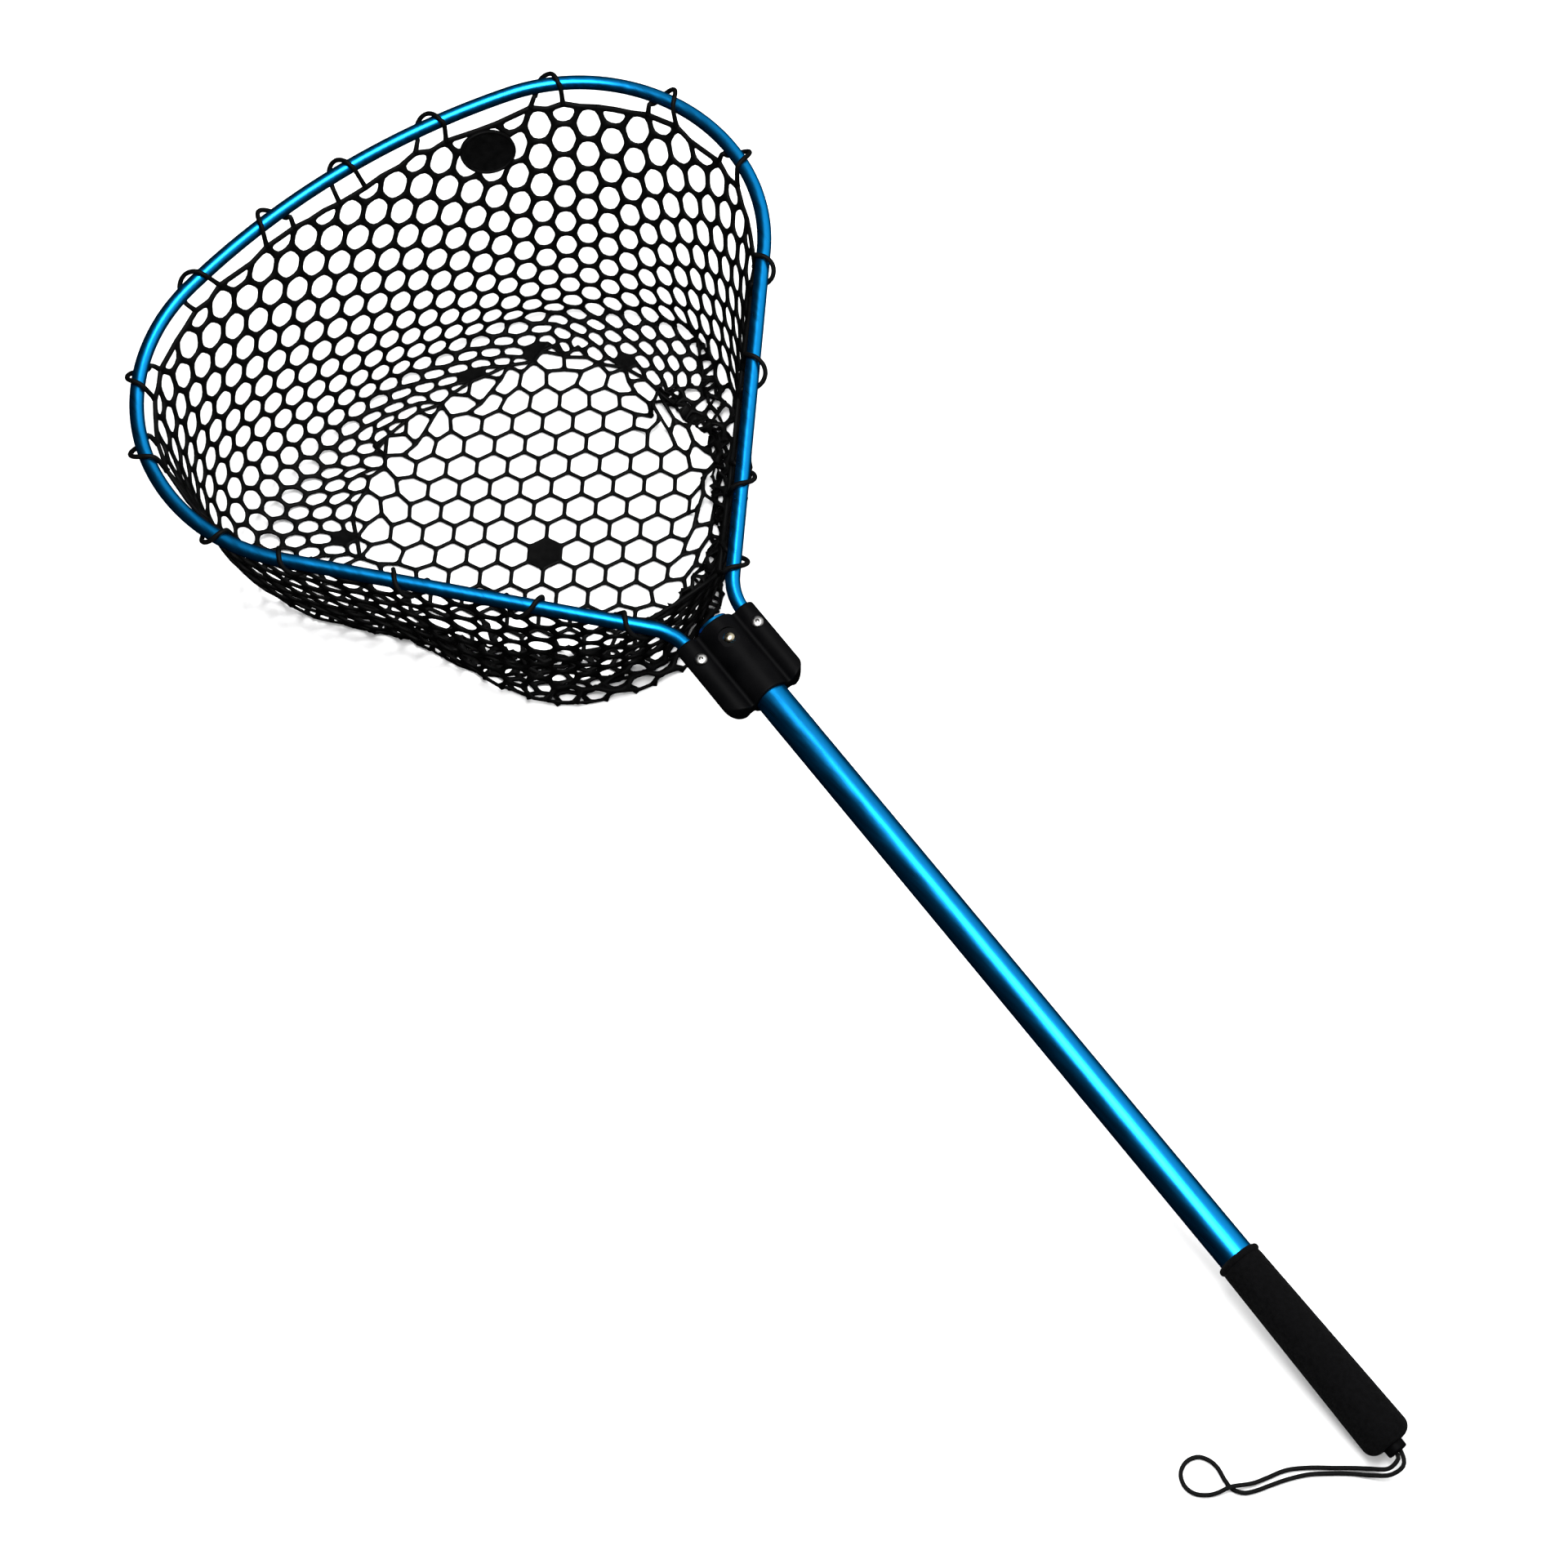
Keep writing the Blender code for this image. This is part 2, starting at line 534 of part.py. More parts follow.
def make_badge(parts):
    here = wall_point(BADGE_ANGLE, BADGE_DOWN)
    across = wall_point(BADGE_ANGLE + 0.02, BADGE_DOWN) - here
    lower = wall_point(BADGE_ANGLE, BADGE_DOWN + 0.02) - here
    normal = across.cross(lower).normalized()
    if normal.dot(Vector((PANEL_X, 0.0, here.z)) - here) < 0:
        normal = -normal
    near = here + normal * (WALL_T / 2 + BADGE_CLEAR)
    badge = cylinder("net_badge", BADGE_R, near, near + normal * BADGE_T, 32)
    finish(badge, parts, None, "net_rubber")


def make_loops(parts, plane):
    """Closed strands of the net's edge, each round the hoop tube and hanging a little under it."""
    line = np.array(hoop_line())
    along = np.concatenate([[0.0], np.cumsum(np.linalg.norm(np.diff(line, axis=0), axis=1))])
    for number, share in enumerate(LOOP_AT, start=1):
        here, ahead = [np.array([np.interp(s, along, line[:, axis]) for axis in (0, 1)])
                       for s in (share * along[-1], share * along[-1] + 0.004)]
        tangent = Vector((*(ahead - here), 0.0)).normalized()
        normal = tangent.cross(Vector((0.0, 0.0, 1.0)))
        across = normal * math.cos(LOOP_TWIST) + tangent * math.sin(LOOP_TWIST)
        over = HOOP_R + LOOP_CORD_R + 2 * GAP
        data = bpy.data.curves.new("net_loop", "CURVE")
        data.dimensions = "3D"
        data.bevel_depth = LOOP_CORD_R
        data.bevel_resolution = 1
        spline = data.splines.new("POLY")
        steps = 16
        spline.points.add(steps - 1)
        spline.use_cyclic_u = True
        for k, point in enumerate(spline.points):
            angle = 2 * math.pi * (k + 0.5) / steps
            height = math.sin(angle) * (over * 1.06 if angle < math.pi else LOOP_DROP)
            sideways = across * (math.cos(angle) * over / math.cos(LOOP_TWIST) * 1.06)
            point.co = (here[0] + sideways.x, here[1] + sideways.y, height, 1.0)
        finish(bpy.data.objects.new(f"net_loop_{number:02d}", data), parts, plane, "net_rubber")


def main():
    clear_scene()
    parts = new_collection("landing_net")
    helpers = new_collection("cutters", hidden=True)
    plane = bpy.data.objects.new("hoop_and_handle_plane", None)
    finish(plane, parts)
    plane.location = (YOKE_X, 0.0, yoke_z())
    plane.rotation_euler = (0.0, TILT, 0.0)
    button_axis = finish(bpy.data.objects.new("button_axis", None), parts, plane)
    button_axis.location = (FASTENER_X, 0.0, 0.0)

    make_hoop(parts, helpers, plane)
    make_yoke(parts, helpers, plane)
    make_rivet(parts, plane, "right", LEG_Y)
    make_rivet(parts, plane, "left", -LEG_Y)
    make_handle(parts, helpers, plane)
    make_button(parts, button_axis, plane)
    make_lanyard(parts, plane)
    make_wall(parts)
    make_panel(parts)
    make_badge(parts)
    make_loops(parts, plane)


main()
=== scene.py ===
"""Looks of the landing net: a draped bag of rubber hexagons, anodised tubes, moulded yoke and foam grip.

Everything is placed from the same driving dimensions as the CAD, in metres, with +Z up. The hoop and the
handle lie in one tilted plane: a point in the plane's own axes (X along the handle to the butt, Z out of the
hoop) becomes a point in the row frame through to_world().
"""

import math

import bmesh
import bpy
import numpy as np
from mathutils import Matrix, Vector


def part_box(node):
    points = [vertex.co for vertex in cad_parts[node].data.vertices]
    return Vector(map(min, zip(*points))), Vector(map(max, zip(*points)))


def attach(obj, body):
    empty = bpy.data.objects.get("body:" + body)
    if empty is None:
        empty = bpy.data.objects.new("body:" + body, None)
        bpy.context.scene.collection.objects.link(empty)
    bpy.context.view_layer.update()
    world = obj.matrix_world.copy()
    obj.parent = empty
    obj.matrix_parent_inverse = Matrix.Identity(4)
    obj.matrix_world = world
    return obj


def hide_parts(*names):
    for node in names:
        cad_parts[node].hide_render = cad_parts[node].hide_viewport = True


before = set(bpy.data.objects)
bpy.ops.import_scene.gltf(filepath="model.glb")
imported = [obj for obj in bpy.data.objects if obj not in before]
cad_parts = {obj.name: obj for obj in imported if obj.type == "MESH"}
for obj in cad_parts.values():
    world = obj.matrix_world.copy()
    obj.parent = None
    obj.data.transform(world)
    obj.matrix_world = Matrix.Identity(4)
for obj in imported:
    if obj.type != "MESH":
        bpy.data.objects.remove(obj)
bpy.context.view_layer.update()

# Pose of the hoop and handle plane
TILT = math.radians(9.5)
YOKE_X = 0.300
YOKE_Z = 0.13512
GAP = 0.0003

# Hoop: tube and outline, one half, in the plane's axes
HOOP_R = 0.00555
HOOP_TIP_X = -0.5132
HOOP_FAR_R = 0.6044
HOOP_CORNER_R = 0.1452
HOOP_LEG_ANGLE = math.radians(41.4)
HOOP_LEG_APEX_X = -0.0072
HOOP_BEND_R = 0.045
LEG_Y = 0.0252
LEG_END_X = 0.030

# Yoke
YOKE_FRONT_X = -0.0215
YOKE_REAR_X = 0.0475
YOKE_HALF_Y = 0.0345
YOKE_BARREL_R = 0.0157
YOKE_BOSS_R = 0.0089
YOKE_WEB_Z = 0.0050
YOKE_CORNER_R = 0.016
YOKE_NOSE_R = 0.003
YOKE_OVER = 0.006
YOKE_CUT_TOP_Z = 0.03
YOKE_VOXEL = 0.0007

# Handle, grip and butt
HANDLE_R = 0.0127
HANDLE_WALL = 0.0013
HANDLE_FRONT_X = -0.0245
HANDLE_REAR_X = 0.7120
GRIP_FRONT_X = 0.5645
GRIP_REAR_X = 0.7220
GRIP_FRONT_R = 0.0149
GRIP_REAR_R = 0.0175
GRIP_ROUND_R = 0.0085
GRIP_ROLL_R = 0.0026
GRIP_ROLL_X = 0.0030
GRIP_ROLL_LENGTH = 0.0070
GRIP_WALL_X = 0.7160
NUB_R = 0.0072
NUB_END_X = 0.7280
CORD_HOLE_R = 0.0036
BUTT_FLANGE_R = 0.0125
BUTT_FLANGE_T = 0.0030
BUTT_PLUG_FRONT_X = 0.6900
BUTT_PLUG_BORE_R = 0.0085
BUTT_PLUG_WALL_X = 0.7060

# Snap button and rivets
FASTENER_X = -0.0035
BUTTON_R = 0.00415
BUTTON_TOP_Z = 0.0164
BUTTON_DOME_H = 0.0023
BUTTON_DISH_R = 0.0080
BUTTON_DISH_Z = 0.0139
BUTTON_FLANGE_R = 0.0055
BUTTON_FLANGE_Z = 0.0095
BUTTON_FLANGE_T = 0.0009
RIVET_SHANK_R = 0.0023
RIVET_HEAD_R = 0.00475
RIVET_SEAT_Z = 0.0083
RIVET_CROWN_R = 0.0016
RIVET_CROWN_H = 0.0016
RIVET_RIM_H = 0.0005
RIVET_BORE_R = 0.0012
RIVET_BULB_R = 0.0029
RIVET_BULB_Z = 0.0029
RIVET_END_Z = 0.0005
MANDREL_SUNK = 0.0009
MANDREL_NECK_Z = 0.0002
MANDREL_HEAD_R = 0.0021
MANDREL_HEAD_Z = -0.0008
MANDREL_END_Z = -0.0015

# Bag: a wall of flat-topped hexagons in levels of half a cell, smaller towards the foot, and a floor panel.
# The wall's top edge runs round the hoop between two shares of its length and crosses the throat at the yoke.
WALL_PERIODS = 35
WALL_ROWS = 12
WALL_STRAND = 0.0132
WALL_SHRINK = 0.30
RIM_TAUT = 0.86
WALL_HALF_WIDTH = 0.0026
WALL_HALF_HEIGHT = 0.0017
WALL_ROUND_R = 0.0062
FOOT_SLIMMER = 0.32
PANEL_STRAND = 0.0145
PANEL_HALF_WIDTH = 0.0017
PANEL_HALF_HEIGHT = 0.0013
PANEL_ROUND_R = 0.0030
PANEL_R = 0.164
PANEL_TURN = math.radians(51.0)
PANEL_AT = (0.013, 0.008)
RIM_FROM, RIM_TO = 0.040, 0.960
RIM_THROAT = 0.035
RIM_START_INWARD = 0.010
RIM_START_Z = -0.018
HOOP_MIDDLE = np.array([-0.29, 0.0, 0.0])
WRAP_AT = (0.057, 0.101, 0.157, 0.213, 0.279, 0.328, 0.388, 0.450, 0.499,
           0.540, 0.591, 0.646, 0.686, 0.742, 0.782, 0.836, 0.890, 0.943)
# A strand's section between its top and underside ridges: shares of its half width and half height
STRAND_SECTION = ((0.62, 0.78), (1.0, 0.0), (0.62, -0.78))
CORNER_ROOM = 0.46
WRAP_CORD_R = 0.0019
WRAP_ROOT_SWELL = 0.0007
# A wrap's way round the tube: angle in degrees, place along the tube in mm, share of its looseness
WRAP_WAY = ((25, -12.5, 0.0), (60, -11.0, 0.0), (95, -9.5, 0.0), (130, -7.5, 0.1), (158, -4.5, 0.7),
            (180, -0.5, 1.0), (202, 3.5, 0.7), (230, 6.5, 0.1), (265, 8.5, 0.0), (300, 10.0, 0.0),
            (335, 11.5, 0.0))
WRAP_LEG_APART = 0.010
WRAP_HANDED = 0.55
WRAP_STAND_OFF = (0.0008, 0.0034)
WRAP_SPREAD = (0.85, 1.15)
LEG_LENGTH = 0.0130
RIM_INSET = 0.010
RIM_REACH = 0.0190
# How far inside the hoop's plan the bag's foot keeps, by direction from the panel in degrees
FLOOR_INSET = ((-180, 0.034), (-130, 0.010), (-116, 0.010), (-104, 0.055), (-95, 0.072), (-84, 0.072),
               (-70, 0.050), (-56, 0.032), (-42, 0.012), (-28, 0.012), (-18, 0.028), (-8, 0.055),
               (5, 0.050), (30, 0.024), (115, 0.020), (140, 0.034), (180, 0.034))
FLOOR_CLEAR = 0.0016
FILLED_WALL_CELLS = ((-0.130, 0.021), (-0.124, 0.080), (-0.062, 0.135), (0.009, 0.159), (-0.073, -0.111))
FILLED_PANEL_CELL = (0.050, -0.021)
BADGE_R = 0.0215
BADGE_SHIFT = (-0.0125, -0.0025, 0.012)
BADGE_STRETCH = (1.08, 0.88)
BADGE_TURN = math.radians(-30.0)
BADGE_FACE_Z = 0.0021
BADGE_BORDER_Z = 0.0027
BADGE_BACK_Z = -0.0012

# Drape: speeds kept from step to step, and how firmly each kind of pair is moved to its distance
DRAPE_STEPS = 400
DRAPE_ROUNDS = 10
DRAPE_DT = 0.01
DRAPE_GRAVITY = 2.2
SPEED_KEPT, SPEED_KEPT_LAST, LAST_STEPS = 0.97, 0.90, 60
TOP_SPEED = 1.2
FLOOR_GRIP = 0.6
STRAND_PULL = 1.7
CELL_PULL = 0.01
CELL_FOLD = 0.6
APART_PUSH = 0.5
PANEL_CORE, PANEL_HOLD = 0.75, 0.1
NEAR_EVERY, NEAR_REACH = 8, 0.010
RIM_FROM_X = -0.060
LIMIT_FROM_X = -0.035
LIMIT_RISE = 0.16
CORNER_PUSH = 3.5
CORNER_ANGLE = math.radians(-121.0)
CORNER_SPREAD = math.radians(22.0)
DRAPE_SEED = 4
START_SHAKE = 0.0012
STRAND_APART = 0.0052
TUBE_APART = 0.0082
HANDLE_CLEAR_X = (-0.52, 0.0)
HANDLE_CLEAR_Y = 0.019
HANDLE_CLEAR_Z = -0.0175
YOKE_CLEAR = (-0.030, 0.045, -0.028)

# Lanyard: its route in the row frame after it has left the butt, as in the CAD
CORD_R = 0.0015
CORD_SIDE = 0.00165
CORD_START_X = 0.7043
LANYARD_POINTS = 78
LANYARD_ROUTE = (
    (1.0218, -0.0042, 0.0152), (1.0212, -0.0115, 0.0098), (1.0125, -0.0190, 0.0040),
    (1.0040, -0.0275, 0.0017), (0.9970, -0.0362, 0.0017), (0.9870, -0.0485, 0.0017),
    (0.9790, -0.0612, 0.0017), (0.9750, -0.0750, 0.0017), (0.9722, -0.0850, 0.0030),
    (0.9662, -0.0972, 0.0052), (0.9632, -0.1060, 0.0026), (0.9600, -0.1122, 0.0017),
    (0.9540, -0.1182, 0.0017), (0.9460, -0.1200, 0.0017), (0.9378, -0.1165, 0.0017),
    (0.9340, -0.1088, 0.0017), (0.9360, -0.1005, 0.0017), (0.9430, -0.0960, 0.0017),
    (0.9505, -0.0952, 0.0017), (0.9585, -0.0968, 0.0017), (0.9662, -0.0972, 0.0017),
    (0.9730, -0.0935, 0.0017), (0.9770, -0.0865, 0.0017), (0.9805, -0.0755, 0.0017),
    (0.9845, -0.0640, 0.0017), (0.9905, -0.0515, 0.0017), (1.0000, -0.0385, 0.0017),
    (1.0072, -0.0298, 0.0017), (1.0165, -0.0212, 0.0040), (1.0252, -0.0128, 0.0096),
    (1.0268, -0.0035, 0.0150),
)

# Camera and light
CAMERA_AT = (1.4975, -0.5993, 2.0850)
CAMERA_RIGHT = (0.59254, 0.79943, -0.09905)
CAMERA_UP = (-0.65389, 0.54915, 0.52045)
CAMERA_FOCAL_MM = 75.03
SOFTBOX_AT = (0.66, 0.20, 2.0)
SOFTBOX_SIZE = (1.35, 0.52)
SOFTBOX_WATTS = 62.0
OVERHEAD = 3.4
ROOM_BRIGHT_SIDE = (0.25, 0.80, 0.545)
ROOM_BRIGHT = 1.0
ROOM_DARK = 0.008
ROOM_DARK_UNTIL = 0.52
FLOOR_HALF = 30.0
FLOOR_Z = -0.0004


# ---- geometry helpers

def to_world(points):
    """Points of the tilted plane's axes, as an array, in the row frame."""
    p = np.asarray(points, float)
    cos_t, sin_t = math.cos(TILT), math.sin(TILT)
    return np.stack([YOKE_X + p[..., 0] * cos_t + p[..., 2] * sin_t, p[..., 1],
                     YOKE_Z - p[..., 0] * sin_t + p[..., 2] * cos_t], -1)


def to_plane(points):
    """Points of the row frame, as an array, in the tilted plane's axes."""
    p = np.asarray(points, float)
    cos_t, sin_t = math.cos(TILT), math.sin(TILT)
    x, z = p[..., 0] - YOKE_X, p[..., 2] - YOKE_Z
    return np.stack([x * cos_t - z * sin_t, p[..., 1], x * sin_t + z * cos_t], -1)


PLANE = Matrix.Translation((YOKE_X, 0.0, YOKE_Z)) @ Matrix.Rotation(TILT, 4, "Y")


def arc(centre_x, centre_y, radius, start, end, count):
    """(x, y) points on an arc from angle start to angle end, both included."""
    angles = np.linspace(start, end, count)
    return [(centre_x + radius * math.cos(a), centre_y + radius * math.sin(a)) for a in angles]


def run_along(points):
    """How far along the line through points each of them is."""
    return np.concatenate([[0.0], np.cumsum(np.linalg.norm(np.diff(points, axis=0), axis=1))])


def resampled(points, spacing):
    """The same line with points at even distances of about spacing."""
    points = np.asarray(points, float)
    along = run_along(points)
    even = np.linspace(0.0, along[-1], max(2, int(along[-1] / spacing) + 1))
    return np.stack([np.interp(even, along, points[:, k]) for k in range(points.shape[1])], 1)


def catmull_rom(points, per_span=12):
    """A smooth curve through points."""
    knots = [np.array(p, float) for p in points]
    knots = [2 * knots[0] - knots[1]] + knots + [2 * knots[-1] - knots[-2]]
    fine = []
    for before, start, end, after in zip(knots, knots[1:], knots[2:], knots[3:]):
        for t in np.linspace(0.0, 1.0, per_span, endpoint=False):
            fine.append(0.5 * (2 * start + t * (end - before)
                               + t * t * (2 * before - 5 * start + 4 * end - after)
                               + t ** 3 * (3 * start - before - 3 * end + after)))
    return np.array(fine + [knots[-2]])


def hoop_line():
    """The hoop's whole centre line in the plane's axes, from the leg at +Y round to the leg at -Y."""
    sin_a, cos_a = math.sin(HOOP_LEG_ANGLE), math.cos(HOOP_LEG_ANGLE)
    far_x = HOOP_TIP_X + HOOP_FAR_R
    # The corner arc touches the straight leg and, from inside, the far arc.
    offset = np.array([HOOP_LEG_APEX_X - HOOP_CORNER_R * sin_a - far_x, -HOOP_CORNER_R * cos_a])
    along_leg = np.array([-cos_a, sin_a])
    half_b = offset @ along_leg
    reach = -half_b + math.sqrt(half_b ** 2 - offset @ offset + (HOOP_FAR_R - HOOP_CORNER_R) ** 2)
    corner = offset + reach * along_leg + np.array([far_x, 0.0])
    split = math.atan2(corner[1], corner[0] - far_x)
    bend_x = HOOP_LEG_APEX_X - LEG_Y / math.tan(HOOP_LEG_ANGLE) \
        + HOOP_BEND_R * math.tan(HOOP_LEG_ANGLE / 2)
    half = ([(LEG_END_X, LEG_Y)]
            + arc(bend_x, LEG_Y + HOOP_BEND_R, HOOP_BEND_R, -math.pi / 2,
                  -math.pi / 2 - HOOP_LEG_ANGLE, 24)
            + arc(*corner, HOOP_CORNER_R, math.pi / 2 - HOOP_LEG_ANGLE, split, 80)
            + arc(far_x, 0.0, HOOP_FAR_R, split, math.pi, 40)[1:])
    flat = resampled(half + [(x, -y) for x, y in reversed(half[:-1])], 0.002)
    return np.column_stack([flat, np.zeros(len(flat))])


HOOP = hoop_line()
HOOP_ALONG = run_along(HOOP)


def hoop_at(share):
    """Points of the hoop's centre line at these shares of its length."""
    along = np.asarray(share, float) * HOOP_ALONG[-1]
    return np.stack([np.interp(along, HOOP_ALONG, HOOP[:, k]) for k in range(3)], -1)


def placed(name, data):
    """A new object of the scene that shows data."""
    obj = bpy.data.objects.new(name, data)
    bpy.context.scene.collection.objects.link(obj)
    return obj


def piece(name, mesh, material, cad_name, body="net_head", smooth=40.0):
    """A smooth mesh as a piece that rides on body and stands for the CAD node cad_name. Edges sharper than
    smooth degrees stay crisp."""
    mesh.materials.clear()
    mesh.materials.append(material)
    mesh.shade_smooth()
    if smooth < 180.0:
        mesh.set_sharp_from_angle(angle=math.radians(smooth))
    obj = placed(name, mesh)
    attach(obj, body)
    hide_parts(cad_name)


def mesh_of(name, verts, faces):
    mesh = bpy.data.meshes.new(name)
    mesh.from_pydata([tuple(v) for v in verts], [], [tuple(f) for f in faces])
    mesh.validate()
    mesh.update()
    return mesh


def faced_out(mesh):
    """The mesh without loose vertices, and with its faces turned outwards."""
    bm = bmesh.new()
    bm.from_mesh(mesh)
    bmesh.ops.delete(bm, geom=[v for v in bm.verts if not v.link_faces], context="VERTS")
    bmesh.ops.recalc_face_normals(bm, faces=bm.faces)
    bm.to_mesh(mesh)
    bm.free()
    return mesh


def ring_faces(*rings):
    """Faces between rings of vertex numbers, each ring to the next. A ring may be one number throughout."""
    faces = []
    for low, high in zip(rings, rings[1:]):
        for corners in zip(low, low[1:] + low[:1], high[1:] + high[:1], high):
            face = tuple(dict.fromkeys(corners))
            if len(face) > 2:
                faces.append(face)
    return faces


def tube_geometry(points, radius, sides):
    """(vertices, faces) of a round closed-ended tube along points; radius is a number or one per point."""
    points = np.asarray(points, float)
    radius = np.broadcast_to(np.asarray(radius, float), len(points))
    tangent = np.gradient(points, axis=0)
    tangent /= np.linalg.norm(tangent, axis=1)[:, None]
    normal = np.cross(tangent[0], (0.0, 0.0, 1.0))
    if np.linalg.norm(normal) < 0.1:
        normal = np.cross(tangent[0], (1.0, 0.0, 0.0))
    normal /= np.linalg.norm(normal)
    turn = np.linspace(0.0, 2 * math.pi, sides, endpoint=False)
    verts = []
    for place, ahead, size in zip(points, tangent, radius):
        normal = normal - ahead * (normal @ ahead)
        normal /= np.linalg.norm(normal)
        side = np.cross(ahead, normal)
        verts.append(place + size * (np.cos(turn)[:, None] * normal + np.sin(turn)[:, None] * side))
    verts = np.concatenate(verts + [points[:1], points[-1:]])
    rings = [list(range(k * sides, (k + 1) * sides)) for k in range(len(points))]
    first, last = len(points) * sides, len(points) * sides + 1
    faces = ring_faces([first] * sides, *rings, [last] * sides)
    return verts, faces


def turned_mesh(name, profile, steps, matrix, closed=True):
    """A solid turned about local Z. profile is (radius, z) pairs; closed joins its last to its first."""
    verts, rings = [], []
    for r, z in profile:
        if r < 1e-7:
            rings.append([len(verts)] * steps)
            verts.append((0.0, 0.0, z))
            continue
        rings.append(list(range(len(verts), len(verts) + steps)))
        for j in range(steps):
            a = 2 * math.pi * j / steps
            verts.append((r * math.cos(a), r * math.sin(a), z))
    faces = ring_faces(*rings, *(rings[:1] if closed else []))
    mesh = faced_out(mesh_of(name, verts, faces))
    mesh.transform(matrix)
    return mesh


ALONG_X = PLANE @ Matrix.Rotation(math.pi / 2, 4, "Y")


def fillet(profile, radius, steps=5):
    """The open profile with each inner corner rounded by radius, where its neighbours leave room."""
    out = [profile[0]]
    for before, here, after in zip(profile, profile[1:], profile[2:]):
        here = np.array(here)
        back, ahead = np.array(before) - here, np.array(after) - here
        reach = min(radius, 0.45 * np.linalg.norm(back), 0.45 * np.linalg.norm(ahead))
        start = here + back / np.linalg.norm(back) * reach
        end = here + ahead / np.linalg.norm(ahead) * reach
        for t in np.linspace(0.0, 1.0, steps):
            out.append(tuple((1 - t) ** 2 * start + 2 * t * (1 - t) * here + t * t * end))
    return out + [profile[-1]]


# ---- materials

def new_material(name, colour, rough, **settings):
    """A material and its shader; settings are the shader's other inputs, with underscores for spaces."""
    mat = bpy.data.materials.new(name)
    mat.use_nodes = True
    shader = mat.node_tree.nodes["Principled BSDF"]
    shader.inputs["Base Color"].default_value = (*colour, 1.0)
    shader.inputs["Roughness"].default_value = rough
    for entry, value in settings.items():
        shader.inputs[entry.replace("_", " ")].default_value = value
    return mat, shader


def grey(value):
    return (value, value, value)


def node(mat, kind, **settings):
    """A shader node; settings are its own properties, or its inputs with underscores for spaces."""
    made = mat.node_tree.nodes.new(kind)
    for name, value in settings.items():
        if hasattr(made, name):
            setattr(made, name, value)
        else:
            made.inputs[name.replace("_", " ")].default_value = value
    return made


def wire(mat, start, output, end, entry):
    mat.node_tree.links.new(start.outputs[output], end.inputs[entry])


def noise(mat, scale, detail=4.0, stretch=(1.0, 1.0, 1.0)):
    """Noise in object space, drawn out by stretch."""
    coords = node(mat, "ShaderNodeTexCoord")
    mapping = node(mat, "ShaderNodeMapping", Scale=stretch)
    texture = node(mat, "ShaderNodeTexNoise", Scale=scale, Detail=detail)
    wire(mat, coords, "Object", mapping, "Vector")
    wire(mat, mapping, "Vector", texture, "Vector")
    return texture


def vary(mat, texture, shader, entry, low, high):
    """Drives a number of the shader between low and high by a texture."""
    ramp = node(mat, "ShaderNodeMapRange", From_Min=0.3, From_Max=0.7, To_Min=low, To_Max=high)
    wire(mat, texture, "Fac", ramp, "Value")
    wire(mat, ramp, "Result", shader, entry)


def bump(mat, shader, *layers):
    """Adds bumps: each layer is (texture, output name, strength, distance)."""
    before = None
    for texture, output, strength, distance in layers:
        made = node(mat, "ShaderNodeBump", Strength=strength, Distance=distance)
        wire(mat, texture, output, made, "Height")
        if before is not None:
            wire(mat, before, "Normal", made, "Normal")
        before = made
    wire(mat, before, "Normal", shader, "Normal")


def colour_ramp(mat, low, dark, high, light):
    """A ramp of colours from dark at low to light at high."""
    ramp = node(mat, "ShaderNodeValToRGB")
    for stop, place, colour in zip(ramp.color_ramp.elements, (low, high), (dark, light)):
        stop.position = place
        stop.color = (*colour, 1.0)
    return ramp


def tint(mat, texture, shader, dark, light):
    """Colours the shader between dark and light by a texture."""
    ramp = colour_ramp(mat, 0.3, dark, 0.7, light)
    wire(mat, texture, "Fac", ramp, "Fac")
    wire(mat, ramp, "Color", shader, "Base Color")


def anodised(name, colour):
    """Dyed aluminium: a metal with a deep blue edge, drawn lines along X and faint cloudiness."""
    mat, shader = new_material(name, colour, 0.36, Metallic=1.0, Specular_Tint=(0.0, 0.02, 0.16, 1.0))
    tint(mat, noise(mat, 9.0, 3.0), shader, tuple(0.88 * c for c in colour), colour)
    lines = noise(mat, 260.0, 3.0, (0.05, 1.0, 1.0))
    vary(mat, lines, shader, "Roughness", 0.27, 0.35)
    bump(mat, shader, (lines, "Fac", 0.05, 0.0002))
    return mat


def moulded_black(name, rough):
    """Black moulded plastic with a fine spark-eroded grain and slightly rubbed patches."""
    mat, shader = new_material(name, (0.0012, 0.0012, 0.0014), rough, Specular_IOR_Level=0.03)
    grain = noise(mat, 2600.0, 2.0)
    rubbed = noise(mat, 60.0, 5.0)
    vary(mat, rubbed, shader, "Roughness", rough - 0.07, rough + 0.06)
    tint(mat, rubbed, shader, (0.0008, 0.0008, 0.0010), (0.0016, 0.0016, 0.0018))
    bump(mat, shader, (grain, "Fac", 0.25, 0.0002))
    return mat


def net_rubber():
    """Soft black rubber: nearly matt, with a faint skin and moulding flow."""
    mat, shader = new_material("net_rubber_look", grey(0.003), 0.55, Specular_IOR_Level=0.06)
    flow = noise(mat, 180.0, 4.0)
    fine = noise(mat, 1800.0, 2.0)
    vary(mat, flow, shader, "Roughness", 0.48, 0.66)
    tint(mat, flow, shader, grey(0.0008), grey(0.0018))
    bump(mat, shader, (flow, "Fac", 0.25, 0.0004), (fine, "Fac", 0.15, 0.0002))
    return mat


